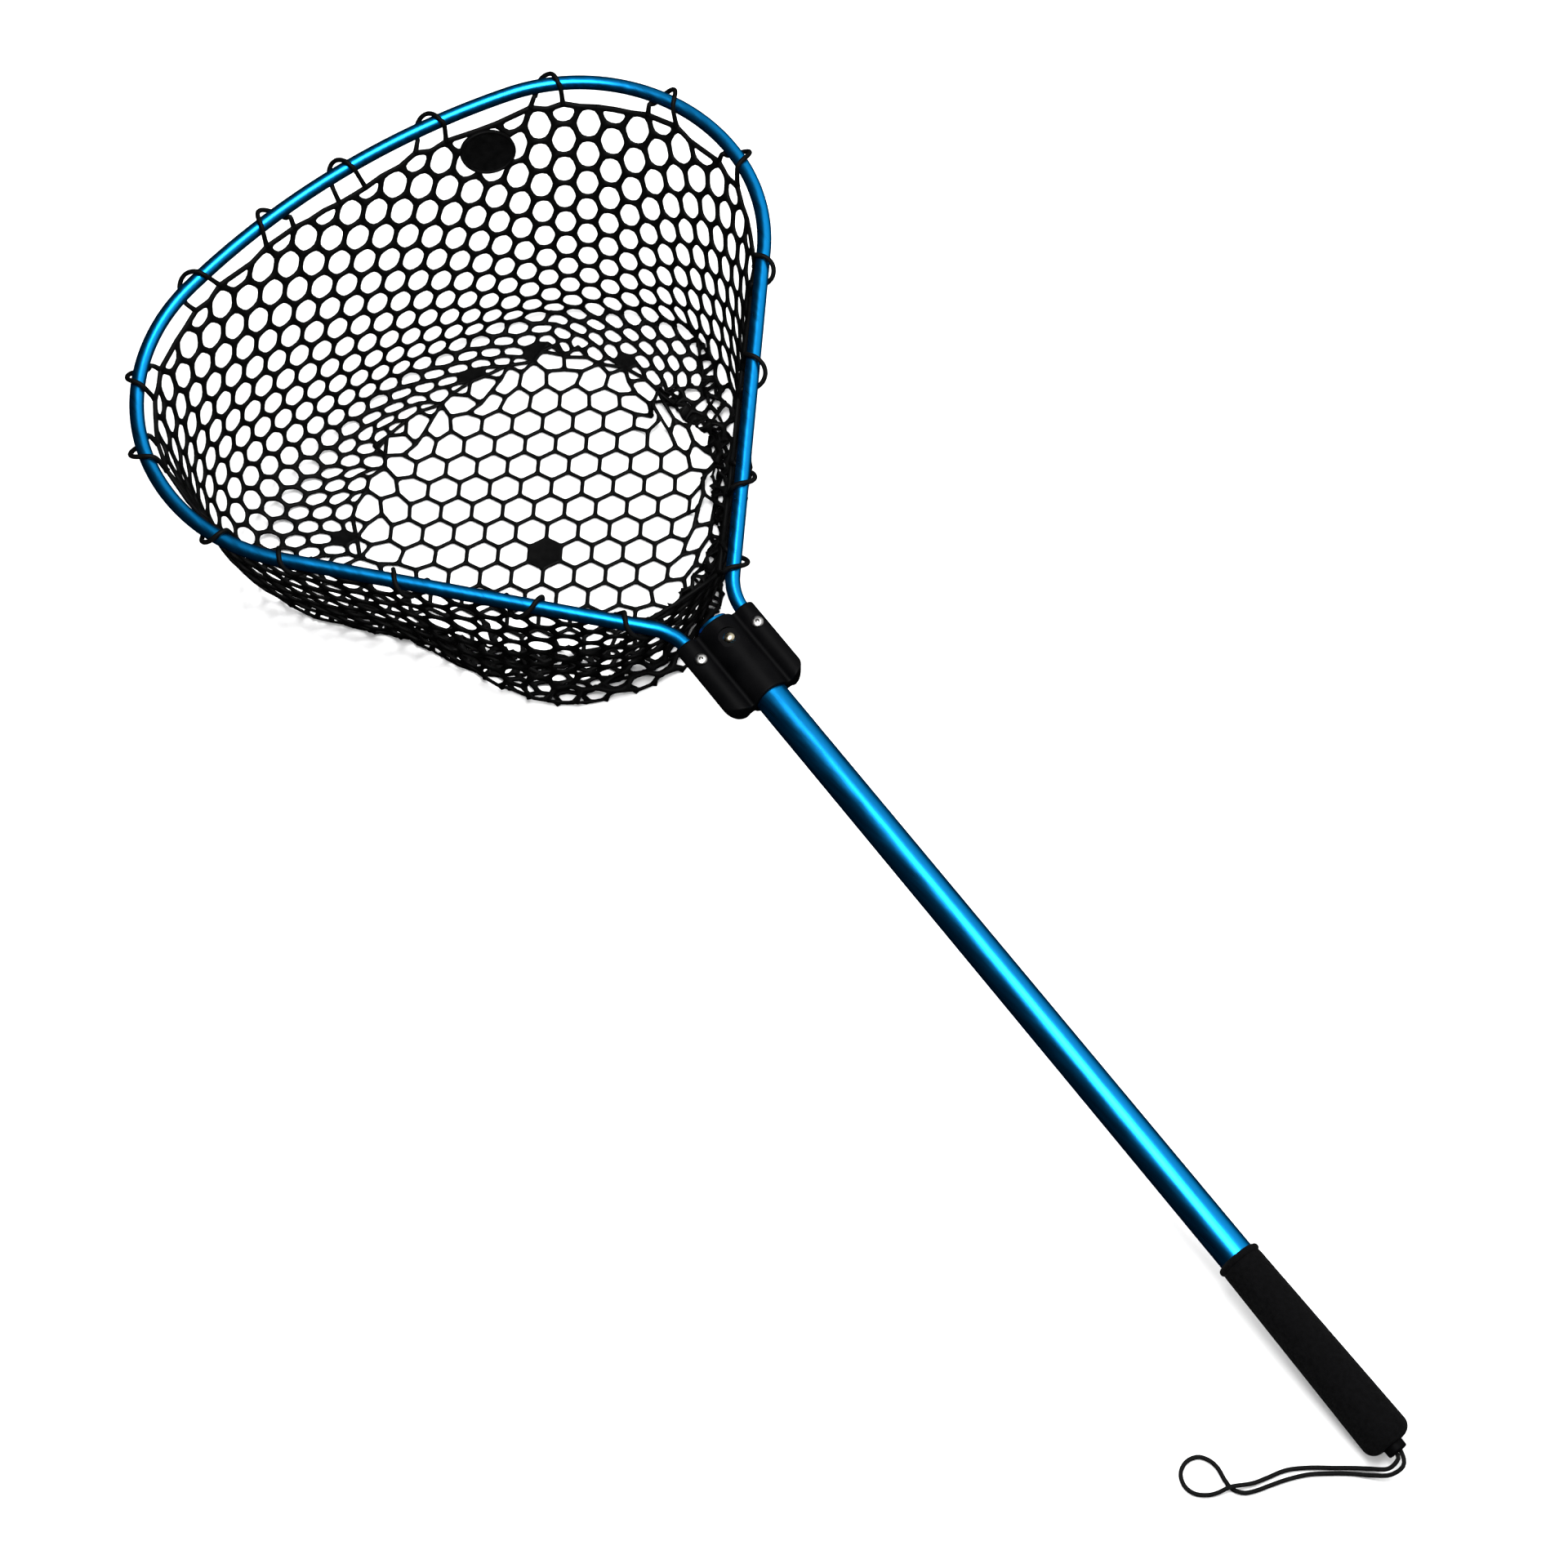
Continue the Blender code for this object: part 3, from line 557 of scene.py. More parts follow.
def foam():
    """Closed-cell foam: small soft cells, a few open ones and a dry matt skin."""
    mat, shader = new_material("foam_grip_look", (0.002, 0.002, 0.0022), 0.9, Specular_IOR_Level=0.04,
                               Sheen_Weight=0.005, Sheen_Roughness=0.5)
    coords = node(mat, "ShaderNodeTexCoord")
    cells = node(mat, "ShaderNodeTexVoronoi", Scale=1400.0)
    wire(mat, coords, "Object", cells, "Vector")
    patches = noise(mat, 320.0, 4.0)
    tint(mat, patches, shader, (0.0008, 0.0008, 0.0009), (0.0020, 0.0020, 0.0022))
    vary(mat, patches, shader, "Roughness", 0.82, 0.97)
    bump(mat, shader, (cells, "Distance", 0.5, 0.0004), (patches, "Fac", 0.3, 0.0003))
    return mat


def bright_metal(name, colour, rough):
    """Plated small hardware with turning marks and handling scuffs."""
    mat, shader = new_material(name, colour, rough, Metallic=1.0)
    scuffs = noise(mat, 900.0, 5.0, (1.0, 0.25, 1.0))
    patches = noise(mat, 420.0, 4.0)
    vary(mat, patches, shader, "Roughness", rough - 0.06, rough + 0.12)
    tint(mat, patches, shader, tuple(0.75 * c for c in colour), colour)
    bump(mat, shader, (scuffs, "Fac", 0.2, 0.0002))
    return mat


def braided():
    """Braided nylon: crossed diagonal ribs over a matt black yarn."""
    mat, shader = new_material("lanyard_look", grey(0.006), 0.7, Specular_IOR_Level=0.10,
                               Sheen_Weight=0.01, Sheen_Roughness=0.4)
    coords = node(mat, "ShaderNodeTexCoord")
    ribs = []
    for angle in (math.radians(38.0), math.radians(-52.0)):
        mapping = node(mat, "ShaderNodeMapping", Rotation=(0.3, 0.2, angle))
        wave = node(mat, "ShaderNodeTexWave", Scale=420.0, Distortion=0.6)
        wire(mat, coords, "Object", mapping, "Vector")
        wire(mat, mapping, "Vector", wave, "Vector")
        ribs.append(wave)
    fuzz = noise(mat, 1500.0, 3.0)
    vary(mat, fuzz, shader, "Roughness", 0.62, 0.85)
    tint(mat, fuzz, shader, grey(0.0015), grey(0.0045))
    bump(mat, shader, (ribs[0], "Fac", 0.5, 0.0003), (ribs[1], "Fac", 0.5, 0.0003),
         (fuzz, "Fac", 0.25, 0.0002))
    return mat


# ---- net lattice

def strand_at(level):
    """Length of the wall's strands at a level: they shrink towards the foot."""
    return WALL_STRAND * (1 - WALL_SHRINK * (level / (2 * WALL_ROWS)) ** 1.1)


def wall_lattice():
    """Cells and strands of the wall. In vertex (level, k), an even k is the left end of a flat strand and an
    odd k its right end. After them comes one vertex in the middle of each long strand of the top edge."""
    levels, width = 2 * WALL_ROWS + 1, 2 * WALL_PERIODS
    last = levels - 1

    def at(level, k):
        return level * width + k % width

    def middle(p):
        return levels * width + p % WALL_PERIODS

    strands, faces = [], []
    for level in range(levels):
        to_right, to_left = (0, -1) if level % 2 == 0 else (2, 1)
        for p in range(WALL_PERIODS):
            left, right = at(level, 2 * p), at(level, 2 * p + 1)
            strands.append((left, right, strand_at(level)))
            if level < last:
                slant = strand_at(level + 0.5)
                strands.append((right, at(level + 1, 2 * p + to_right), slant))
                strands.append((left, at(level + 1, 2 * p + to_left), slant))
            if level < last - 1:
                faces.append([left, right, at(level + 1, 2 * p + to_right), at(level + 2, 2 * p + 1),
                              at(level + 2, 2 * p), at(level + 1, 2 * p + to_left)])
    rim = {at(0, k) for k in range(width)} | {middle(p) for p in range(WALL_PERIODS)}
    for p in range(WALL_PERIODS):
        left, right = at(0, 2 * p + 1), at(0, 2 * p + 2)
        faces.append([left, middle(p), right, at(1, 2 * p + 1), at(1, 2 * p)])
        faces.append([at(last, 2 * p + 2), at(last, 2 * p + 1), at(last - 1, 2 * p),
                      at(last - 1, 2 * p + 1)])
        strands += [(left, middle(p), WALL_STRAND), (middle(p), right, WALL_STRAND),
                    (at(last, 2 * p + 1), at(last, 2 * p + 2), 2 * strand_at(last))]
    strands = [(a, b, RIM_TAUT * length if {a, b} <= rim else length) for a, b, length in strands]
    top = [v for p in range(WALL_PERIODS) for v in (at(0, 2 * p), at(0, 2 * p + 1), middle(p))]
    foot = [at(last, k) for k in range(width)]
    return levels, width, strands, faces, top, foot


def border_loops(faces):
    """Loops of vertices round the open edges of faces, running against the faces' own direction."""
    directed = {(a, b) for f in faces for a, b in zip(f, f[1:] + f[:1])}
    following = {b: a for a, b in directed if (b, a) not in directed}
    loops = []
    while following:
        start, here = next(iter(following.items()))
        loop = [start]
        del following[start]
        while here != start:
            loop.append(here)
            here = following.pop(here)
        loops.append(loop)
    return loops


def panel_lattice():
    """(plan positions, faces) of the hexagons whose centres lie well inside the panel's disc."""
    pitch = PANEL_STRAND * math.sqrt(3)
    found, places, faces = {}, [], []
    reach = int(PANEL_R / PANEL_STRAND) + 2
    for i in range(-reach, reach + 1):
        for j in range(-reach, reach + 1):
            x, y = pitch * (i + j / 2), pitch * j * math.sqrt(3) / 2
            if math.hypot(x, y) > PANEL_R - 0.75 * PANEL_STRAND:
                continue
            face = []
            # Corners lie on a triangular lattice of third steps, which gives each one a whole-number key.
            for k, (du, dv) in enumerate(((2, -1), (1, 1), (-1, 2), (-2, 1), (-1, -1), (1, -2))):
                key = (3 * i + du, 3 * j + dv)
                if key not in found:
                    angle = math.radians(60.0 * k - 30.0)
                    found[key] = len(places)
                    places.append((x + PANEL_STRAND * math.cos(angle),
                                   y + PANEL_STRAND * math.sin(angle)))
                face.append(found[key])
            faces.append(face)
    cos_t, sin_t = math.cos(PANEL_TURN), math.sin(PANEL_TURN)
    return np.array(places) @ np.array([[cos_t, sin_t], [-sin_t, cos_t]]), faces


def rim_places(share):
    """Start places of the wall's top edge, just inside and under the hoop, at shares of the way round it."""
    share = np.asarray(share) % 1.0
    across = share > 1 - RIM_THROAT
    along = hoop_at(RIM_FROM + (RIM_TO - RIM_FROM) * np.clip(share / (1 - RIM_THROAT), 0, 1))
    t = np.clip((share - (1 - RIM_THROAT)) / RIM_THROAT, 0, 1)[:, None]
    throat = hoop_at(RIM_TO) * (1 - t) + hoop_at(RIM_FROM) * t
    places = np.where(across[:, None], throat, along)
    inward = HOOP_MIDDLE - places
    places = places + RIM_START_INWARD * inward / np.linalg.norm(inward, axis=1)[:, None]
    places[:, 2] = RIM_START_Z
    return to_world(places)


def bearing(plan):
    """Directions of (x, y) rows."""
    return np.arctan2(plan[:, 1], plan[:, 0])


def unit(v):
    return v / (np.linalg.norm(v, axis=-1, keepdims=True) + 1e-12)


def scatter(index, value, size):
    """Sums rows of value into size rows by index."""
    return np.stack([np.bincount(index, value[:, k], size) for k in range(3)], 1)


def pulls(places, pairs, rest, stiffness, only_apart=False):
    """How each vertex moves so that its pairs come nearer to their rest distances."""
    gap = places[pairs[:, 1]] - places[pairs[:, 0]]
    length = np.linalg.norm(gap, axis=1) + 1e-9
    error = length - rest
    if only_apart:
        error = np.minimum(error, 0.0)
    move = (0.5 * stiffness * error / length)[:, None] * gap
    return scatter(np.concatenate([pairs[:, 0], pairs[:, 1]]), np.concatenate([move, -move]),
                   len(places))


class Net:
    """The bag's lattice, its wraps round the hoop and its draped shape."""

    def __init__(self):
        self.levels, self.width, strands, self.wall_faces, self.top, self.foot = wall_lattice()
        self.wall_count = self.levels * self.width + WALL_PERIODS
        plan, panel_faces = panel_lattice()
        self.plan = plan + np.array(PANEL_AT)
        self.panel_faces = [[v + self.wall_count for v in f] for f in panel_faces]
        panel_edges = {tuple(sorted(e)) for f in self.panel_faces for e in zip(f, f[1:] + f[:1])}
        strands += [(a, b, PANEL_STRAND) for a, b in sorted(panel_edges)]
        self.strands = np.array([(a, b) for a, b, _ in strands])
        self.lengths = np.array([length for _, _, length in strands])
        self.start()
        self.make_seam()
        self.make_wraps()

    def start(self):
        """Straight strands from the hoop to the panel, shaken a little so that folds can begin."""
        rows = []
        k = np.arange(self.width)
        shift = np.where(k % 2 == 0, -1 / 6, 1 / 6)
        for level in range(self.levels):
            top = rim_places((k // 2 + 0.5 * (level % 2) + shift) / WALL_PERIODS)
            angle = bearing(top[:, :2] - PANEL_AT)
            foot = np.stack([PANEL_AT[0] + 0.93 * PANEL_R * np.cos(angle),
                             PANEL_AT[1] + 0.93 * PANEL_R * np.sin(angle),
                             np.full(self.width, 0.006)], 1)
            t = level / (self.levels - 1)
            rows.append(top * (1 - t) + foot * t)
        middles = rim_places((np.arange(WALL_PERIODS) + 0.5) / WALL_PERIODS)
        panel = np.column_stack([self.plan, np.full(len(self.plan), 0.003)])
        self.places = np.concatenate(rows + [middles, panel])
        self.places += np.random.default_rng(DRAPE_SEED).normal(0, START_SHAKE, self.places.shape)

    def make_seam(self):
        """Each foot vertex of the wall is joined to the panel's border vertex at its own angle."""
        border = np.array(max(border_loops(self.panel_faces), key=len))
        angles = bearing(self.plan[border - self.wall_count] - PANEL_AT)
        pairs = []
        for v in self.foot:
            here = bearing(self.places[v:v + 1, :2] - PANEL_AT)[0]
            apart = np.abs((angles - here + math.pi) % (2 * math.pi) - math.pi)
            pairs.append((v, border[np.argmin(apart)]))
        self.seam = np.array(pairs)

    def make_wraps(self):
        """For each wrap, the two top vertices that its legs run to and where they leave the tube."""
        usable = (np.array(WRAP_AT) - RIM_FROM) / (RIM_TO - RIM_FROM) * (1 - RIM_THROAT)
        self.wraps, anchors = [], []
        for share, way in zip(WRAP_AT, usable):
            k = int(round((way * WALL_PERIODS + 1 / 6) * 3))
            count = len(self.top)
            self.wraps.append((share, self.top[(k - 1) % count], self.top[(k + 1) % count]))
            for side in (-1, 1):
                place = hoop_at(share + side * WRAP_LEG_APART / HOOP_ALONG[-1])
                place[2] = -0.9 * HOOP_R
                anchors.append(to_world(place))
        self.tied = np.array([v for _, a, b in self.wraps for v in (a, b)])
        self.anchors = np.array(anchors)

    def spacers(self):
        """Pairs of second neighbours and of opposite corners in each six-sided cell, with their distances."""
        second, opposite = set(), []
        for face in self.wall_faces + self.panel_faces:
            if len(face) != 6:
                continue
            for i in range(6):
                second.add(tuple(sorted((face[i], face[(i + 2) % 6]))))
            opposite += [(face[i], face[i + 3]) for i in range(3)]
        second, opposite = np.array(sorted(second)), np.array(opposite)

        def side(pairs):
            level = np.minimum(pairs.mean(1) / self.width, self.levels - 1)
            return np.where(pairs[:, 0] < self.wall_count, strand_at(level), PANEL_STRAND)

        return second, side(second) * math.sqrt(3), opposite, side(opposite) * 2

    def near_pairs(self):
        """Vertices that have come within a strand's reach of each other without being linked."""
        count = len(self.places)
        spots = self.places.astype(np.float32)
        square = (spots ** 2).sum(1)
        apart = square[:, None] + square[None, :] - 2 * spots @ spots.T
        first, other = np.nonzero(np.triu(apart < NEAR_REACH ** 2, 1))
        key = first * count + other
        linked = np.concatenate([self.strands, self.seam])
        linked = linked.min(1) * count + linked.max(1)
        loose = np.ones(count, bool)
        loose[self.foot] = False
        loose[self.wall_count:] = False
        keep = ~np.isin(key, linked) & (loose[first] | loose[other])
        return np.stack([first[keep], other[keep]], 1)

    def drape(self):
        """Lets the bag hang from its wraps and settle on the floor, by position-based dynamics."""
        second, second_rest, opposite, opposite_rest = self.spacers()
        count = len(self.places)
        degree = np.maximum(np.bincount(self.strands.ravel(), minlength=count), 1)[:, None]
        partners = np.maximum(np.bincount(self.seam[:, 1], minlength=count), 1)[:, None]
        core = np.nonzero(np.hypot(*(self.plan - PANEL_AT).T) < PANEL_CORE * PANEL_R)[0]
        core_at, core = self.plan[core], core + self.wall_count
        near_tube = np.concatenate([np.arange(4 * self.width),
                                    np.arange(self.levels * self.width, self.wall_count)])
        tube = to_world(HOOP[::3])
        tube_way = np.gradient(tube, axis=0)
        tube_way /= np.linalg.norm(tube_way, axis=1)[:, None]
        limit_angle, limit_radius = self.outer_limit(tube)
        rim = np.concatenate([np.arange(self.width), np.arange(4 * self.width, len(near_tube))])
        rim = rim[to_plane(self.places[near_tube[rim]])[:, 0] < RIM_FROM_X]
        level = np.arange(self.wall_count) // self.width
        belly = np.where(level < self.levels, np.sin(math.pi * level / (self.levels - 1)), 0.0)
        speed = np.zeros_like(self.places)
        x = self.places
        for step in range(DRAPE_STEPS):
            if step % NEAR_EVERY == 0:
                self.places = x
                close = self.near_pairs()
            speed *= SPEED_KEPT if step < DRAPE_STEPS - LAST_STEPS else SPEED_KEPT_LAST
            before = x
            x = x + speed * DRAPE_DT
            x[:, 2] -= DRAPE_GRAVITY * DRAPE_DT ** 2
            out = x[:self.wall_count, :2] - PANEL_AT
            turned = bearing(out) - CORNER_ANGLE
            push = CORNER_PUSH * belly * np.exp(-(turned / CORNER_SPREAD) ** 2)
            x[:self.wall_count, :2] += (push * DRAPE_DT ** 2)[:, None] * unit(out)
            for turn in range(DRAPE_ROUNDS):
                x = x + STRAND_PULL * pulls(x, self.strands, self.lengths, 1.0) / degree
                x = x + pulls(x, second, second_rest, CELL_PULL) / 3
                x = x + pulls(x, second, CELL_FOLD * second_rest, APART_PUSH, True) / 2
                x = x + pulls(x, opposite, CELL_FOLD * opposite_rest, APART_PUSH, True) / 2
                if len(close):
                    x = x + pulls(x, close, STRAND_APART, APART_PUSH, True)
                step_off = x[self.seam[:, 0]] - x[self.seam[:, 1]]
                x = x + 0.5 * scatter(self.seam[:, 1], step_off, count) / partners
                x[self.seam[:, 0]] -= 0.5 * step_off
                x[core, :2] += PANEL_HOLD * (core_at - x[core, :2])
                leg = x[self.tied] - self.anchors
                length = np.linalg.norm(leg, axis=1)
                x[self.tied] -= leg * (np.maximum(length - LEG_LENGTH, 0) / length)[:, None]
                if turn == 0:
                    nearest = ((x[near_tube, None, :] - tube[None]) ** 2).sum(2).argmin(1)
                off = x[near_tube] - tube[nearest]
                off -= (off * tube_way[nearest]).sum(1)[:, None] * tube_way[nearest]
                length = np.linalg.norm(off, axis=1) + 1e-9
                x[near_tube] += off * (np.maximum(TUBE_APART - length, 0) / length)[:, None]
                sag = np.maximum(length[rim] - RIM_REACH, 0.0) / length[rim]
                x[near_tube[rim]] -= off[rim] * sag[:, None]
                self.keep_clear(x, limit_angle, limit_radius)
            speed = (x - before) / DRAPE_DT
            speed[x[:, 2] < FLOOR_CLEAR + 2e-4, :2] *= FLOOR_GRIP
            fast = np.linalg.norm(speed, axis=1) + 1e-9
            speed *= np.minimum(1.0, TOP_SPEED / fast)[:, None]
        self.places = x

    @staticmethod
    def outer_limit(tube):
        """The hoop's plan round the panel as (angles, radii): the wall hangs inside it."""
        plan = tube[to_plane(tube)[:, 0] < LIMIT_FROM_X][:, :2] - PANEL_AT
        angle, radius = bearing(plan), np.hypot(*plan.T)
        order = np.argsort(angle)
        angle, radius = angle[order], radius[order]
        return (np.concatenate([angle - 2 * math.pi, angle, angle + 2 * math.pi]),
                np.tile(radius, 3))

    @staticmethod
    def keep_clear(x, limit_angle, limit_radius):
        """Keeps vertices clear of yoke and sliding handle, inside the hoop's plan and off the floor."""
        q = to_plane(x)
        low_x, high_x = HANDLE_CLEAR_X
        hit = ((np.abs(q[:, 1]) < HANDLE_CLEAR_Y) & (q[:, 0] > low_x) & (q[:, 0] < high_x)
               & (q[:, 2] > HANDLE_CLEAR_Z))
        q[hit, 2] = HANDLE_CLEAR_Z
        front_x, front_y, front_z = YOKE_CLEAR
        front = (q[:, 0] > front_x) & (np.abs(q[:, 1]) < front_y) & (q[:, 2] > front_z)
        q[front, 0] = front_x
        hit |= front
        x[hit] = to_world(q[hit])
        plan = x[:, :2] - PANEL_AT
        radius, angle = np.hypot(*plan.T), bearing(plan)
        height = np.clip(x[:, 2] / LIMIT_RISE, 0.0, 1.0)
        limit = np.interp(angle, limit_angle, limit_radius)
        degrees, inset = np.array(FLOOR_INSET).T
        foot = np.interp(np.degrees(angle), degrees, inset)
        limit = limit - RIM_INSET * height - foot * (1 - height)
        x[:, :2] = PANEL_AT + plan * np.minimum(1.0, limit / np.maximum(radius, 1e-6))[:, None]
        x[:, 2] = np.maximum(x[:, 2], FLOOR_CLEAR)


# ---- net mesh

def strand_mesh(name, places, faces, half_width, half_height, round_r, pads=(), slim=None):
    """The net's skin: every strand gets a rounded section and every cell a hole with rounded corners. Cells
    of pads are filled. Open edges of the faces are closed as cells of their own. slim scales the section at
    each vertex. Nothing goes below the floor."""
    slim = np.ones(len(places)) if slim is None else slim
    normals, edge_normal = np.zeros_like(places), {}
    for face in faces:
        ring = places[face]
        normal = np.cross(ring, np.roll(ring, -1, axis=0)).sum(0)
        normal /= np.linalg.norm(normal) + 1e-12
        for a, b in zip(face, face[1:] + face[:1]):
            normals[a] += normal
            key = (min(a, b), max(a, b))
            edge_normal[key] = edge_normal.get(key, 0.0) + normal
    normals = unit(normals)
    used = sorted({v for f in faces for v in f})
    index = {v: k for k, v in enumerate(used)}
    verts = [places[v] + normals[v] * half_height * slim[v] for v in used]
    verts += [places[v] - normals[v] * half_height * slim[v] for v in used]
    under = len(used)
    out = []
    holes = border_loops(faces)
    for number, face in enumerate(list(faces) + holes):
        n = len(face)
        ring, up, scale = places[face], normals[face], slim[face]
        ahead = np.roll(ring, -1, axis=0) - ring
        length = np.linalg.norm(ahead, axis=1)
        ahead = ahead / length[:, None]
        flat = unit(np.array([edge_normal[(min(a, b), max(a, b))]
                              for a, b in zip(face, face[1:] + face[:1])]))
        inward = unit(np.cross(flat, ahead))
        prev_in, prev_ahead = np.roll(inward, 1, axis=0), np.roll(ahead, 1, axis=0)
        prev_length, prev_flat = np.roll(length, 1), np.roll(flat, 1, axis=0)
        middle = unit(inward + prev_in)
        cosine = np.clip((inward * prev_in).sum(1), -0.95, 1.0)
        half_turn = np.arccos(cosine) / 2
        left = (np.cross(prev_ahead, ahead) * up).sum(1) > 0
        tangent = np.tan(half_turn)
        room = CORNER_ROOM * np.minimum(length, prev_length)
        start = len(verts)
        rings = []
        for share, height in STRAND_SECTION:
            wide = share * half_width * scale
            radius = (round_r + half_width) * scale - wide
            reach = np.where(left, np.minimum((wide + radius) * tangent, room), 0.0)
            radius = np.where(left, np.maximum(reach / np.maximum(tangent, 1e-3) - wide, 0.0), 0.0)
            cut = np.where(left, (wide + radius) / np.cos(half_turn) - radius, wide)
            wide, rise = wide[:, None], (height * half_height * scale)[:, None]
            before = ring - prev_ahead * reach[:, None] + prev_in * wide + prev_flat * rise
            mid = ring + middle * cut[:, None] + up * rise
            after = ring + ahead * reach[:, None] + inward * wide + flat * rise
            rings.append([start + len(rings) * 3 * n + k for k in range(3 * n)])
            verts += list(np.stack([before, mid, after], 1).reshape(-1, 3))
        top, side, low = rings
        for i in range(n):
            j = (i + 1) % n
            a, b = index[face[i]], index[face[j]]
            t0, t1, t2, t3 = 3 * i, 3 * i + 1, 3 * i + 2, 3 * j
            out += [(a, b, top[t3], top[t2]), (a, top[t2], top[t1]), (a, top[t1], top[t0]),
                    (b + under, a + under, low[t2], low[t3]), (a + under, low[t1], low[t2]),
                    (a + under, low[t0], low[t1])]
        if number in pads:
            out += [top, low[::-1]]
            continue
        out += ring_faces(top, side, low)
    verts = np.array(verts)
    verts[:, 2] = np.maximum(verts[:, 2], 0.0)
    return faced_out(mesh_of(name, verts.tolist(), out))


def wrap_path(net, number):
    """A strand from one edge vertex, up behind the tube, loosely round its outside and down again."""
    share, first, second = net.wraps[number]
    rng = np.random.default_rng(100 + number)
    handed = 1 if rng.random() < WRAP_HANDED else -1
    stand_off = rng.uniform(*WRAP_STAND_OFF)
    spread = rng.uniform(*WRAP_SPREAD)
    if handed < 0:
        first, second = second, first
    here = hoop_at(share)
    ahead = unit(hoop_at(share + 0.003) - here)
    outward = np.cross(ahead, (0.0, 0.0, 1.0))
    if outward @ (here - HOOP_MIDDLE) < 0:
        outward = -outward
    upward = np.array([0.0, 0.0, 1.0])
    clear = HOOP_R + WRAP_CORD_R + 0.0002
    path = [net.places[first]]
    for degrees, along, loose in WRAP_WAY:
        angle = math.radians(degrees)
        radius = clear + loose * stand_off
        spot = here + handed * spread * along * 0.001 * ahead
        spot = spot + radius * (-math.cos(angle) * outward - math.sin(angle) * upward)
        path.append(to_world(spot))
    path.append(net.places[second])
    return path


def build_net(rubber):
    net = Net()
    net.drape()
    places = net.places
    wall_pads, panel_pads = pick_pads(net)
    level = np.minimum(np.arange(net.wall_count) // net.width, net.levels - 1)
    level[net.levels * net.width:] = 0
    slim = 1 - FOOT_SLIMMER * level / (net.levels - 1)
    wall = strand_mesh("net_wall_mesh", places, net.wall_faces, WALL_HALF_WIDTH, WALL_HALF_HEIGHT,
                       WALL_ROUND_R, wall_pads, slim)
    piece("net_wall_mesh", wall, rubber, "net_wall", smooth=180.0)
    panel = strand_mesh("net_panel_mesh", places, net.panel_faces, PANEL_HALF_WIDTH, PANEL_HALF_HEIGHT,
                        PANEL_ROUND_R, panel_pads)
    piece("net_panel_mesh", panel, rubber, "net_bottom", smooth=180.0)
    for number in range(len(net.wraps)):
        path = resampled(catmull_rom(wrap_path(net, number)), 0.0016)
        radius = np.full(len(path), WRAP_CORD_R)
        swell = np.minimum(np.arange(len(path)), np.arange(len(path))[::-1])
        radius += WRAP_ROOT_SWELL * np.exp(-swell / 1.5)
        verts, faces = tube_geometry(path, radius, 10)
        name = f"net_wrap_{number + 1:02d}"
        piece(name, mesh_of(name, verts, faces), rubber, f"net_loop_{number + 1:02d}",
              smooth=180.0)
    build_badge(net, rubber)


def pick_pads(net):
    """Numbers of the filled cells: some of the wall's cells on the seam, and one in the panel."""
    centres = np.array([net.places[f].mean(0) for f in net.wall_faces])
    bottom = [k for k, f in enumerate(net.wall_faces) if max(f) >= net.foot[0] and len(f) == 6
              and max(f) < net.levels * net.width]
    wall = set()
    for x, y in FILLED_WALL_CELLS:
        apart = [math.hypot(centres[k][0] - x, centres[k][1] - y) for k in bottom]
        wall.add(bottom[int(np.argmin(apart))])
    panel_centres = np.array([net.places[f].mean(0) for f in net.panel_faces])
    apart = np.hypot(*(panel_centres[:, :2] - FILLED_PANEL_CELL).T)
    return wall, {int(np.argmin(apart))}


def build_badge(net, rubber):
    """A plain oval rubber badge with a raised border, lying on the wall near the far rim."""
    centre = np.array(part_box("net_badge")).mean(0) + np.array(BADGE_SHIFT)
    wall = net.places[:net.wall_count]
    near = wall[np.argsort(np.linalg.norm(wall - centre, axis=1))[:24]]
    middle = near.mean(0)
    _, _, axes = np.linalg.svd(near - middle)
    normal = axes[2] if axes[2] @ (np.array([PANEL_AT[0], PANEL_AT[1], 0.12]) - middle) > 0 else -axes[2]
    middle = centre - normal * ((centre - middle) @ normal)
    turn = Vector(normal).to_track_quat("Z", "Y").to_matrix().to_4x4()
    matrix = (Matrix.Translation(middle + normal * 0.0002) @ turn @ Matrix.Rotation(BADGE_TURN, 4, "Z")
              @ Matrix.Diagonal((*BADGE_STRETCH, 1.0, 1.0)))
    profile = fillet([(0.0, BADGE_FACE_Z), (BADGE_R - 0.0026, BADGE_FACE_Z),
                      (BADGE_R - 0.0020, BADGE_BORDER_Z), (BADGE_R - 0.0006, BADGE_BORDER_Z),
                      (BADGE_R, BADGE_BORDER_Z - 0.0009), (BADGE_R, BADGE_BACK_Z + 0.0006),
                      (BADGE_R - 0.0008, BADGE_BACK_Z), (0.0, BADGE_BACK_Z)], 0.0004)
    piece("net_badge_disc", turned_mesh("net_badge_disc", profile, 72, matrix, closed=False), rubber,
          "net_badge")


# ---- frame pieces

def build_hoop(blue):
    verts, faces = tube_geometry(to_world(resampled(HOOP, 0.004)), HOOP_R, 40)
    piece("hoop", mesh_of("hoop", verts, faces), blue, "hoop_tube")


def primitive(name, make, **settings):
    bm = bmesh.new()
    make(bm, **settings)
    mesh = bpy.data.meshes.new(name)
    bm.to_mesh(mesh)
    bm.free()
    return placed(name, mesh)


def rod(name, radius, start, end, segments=64):
    """A cylinder between two points of the plane's axes, kept in those axes."""
    start, end = Vector(start), Vector(end)
    turn = (end - start).to_track_quat("Z", "Y").to_matrix().to_4x4()
    turn.translation = (start + end) / 2
    return primitive(name, bmesh.ops.create_cone, cap_ends=True, segments=segments, radius1=radius,
                     radius2=radius, depth=(end - start).length, matrix=turn)


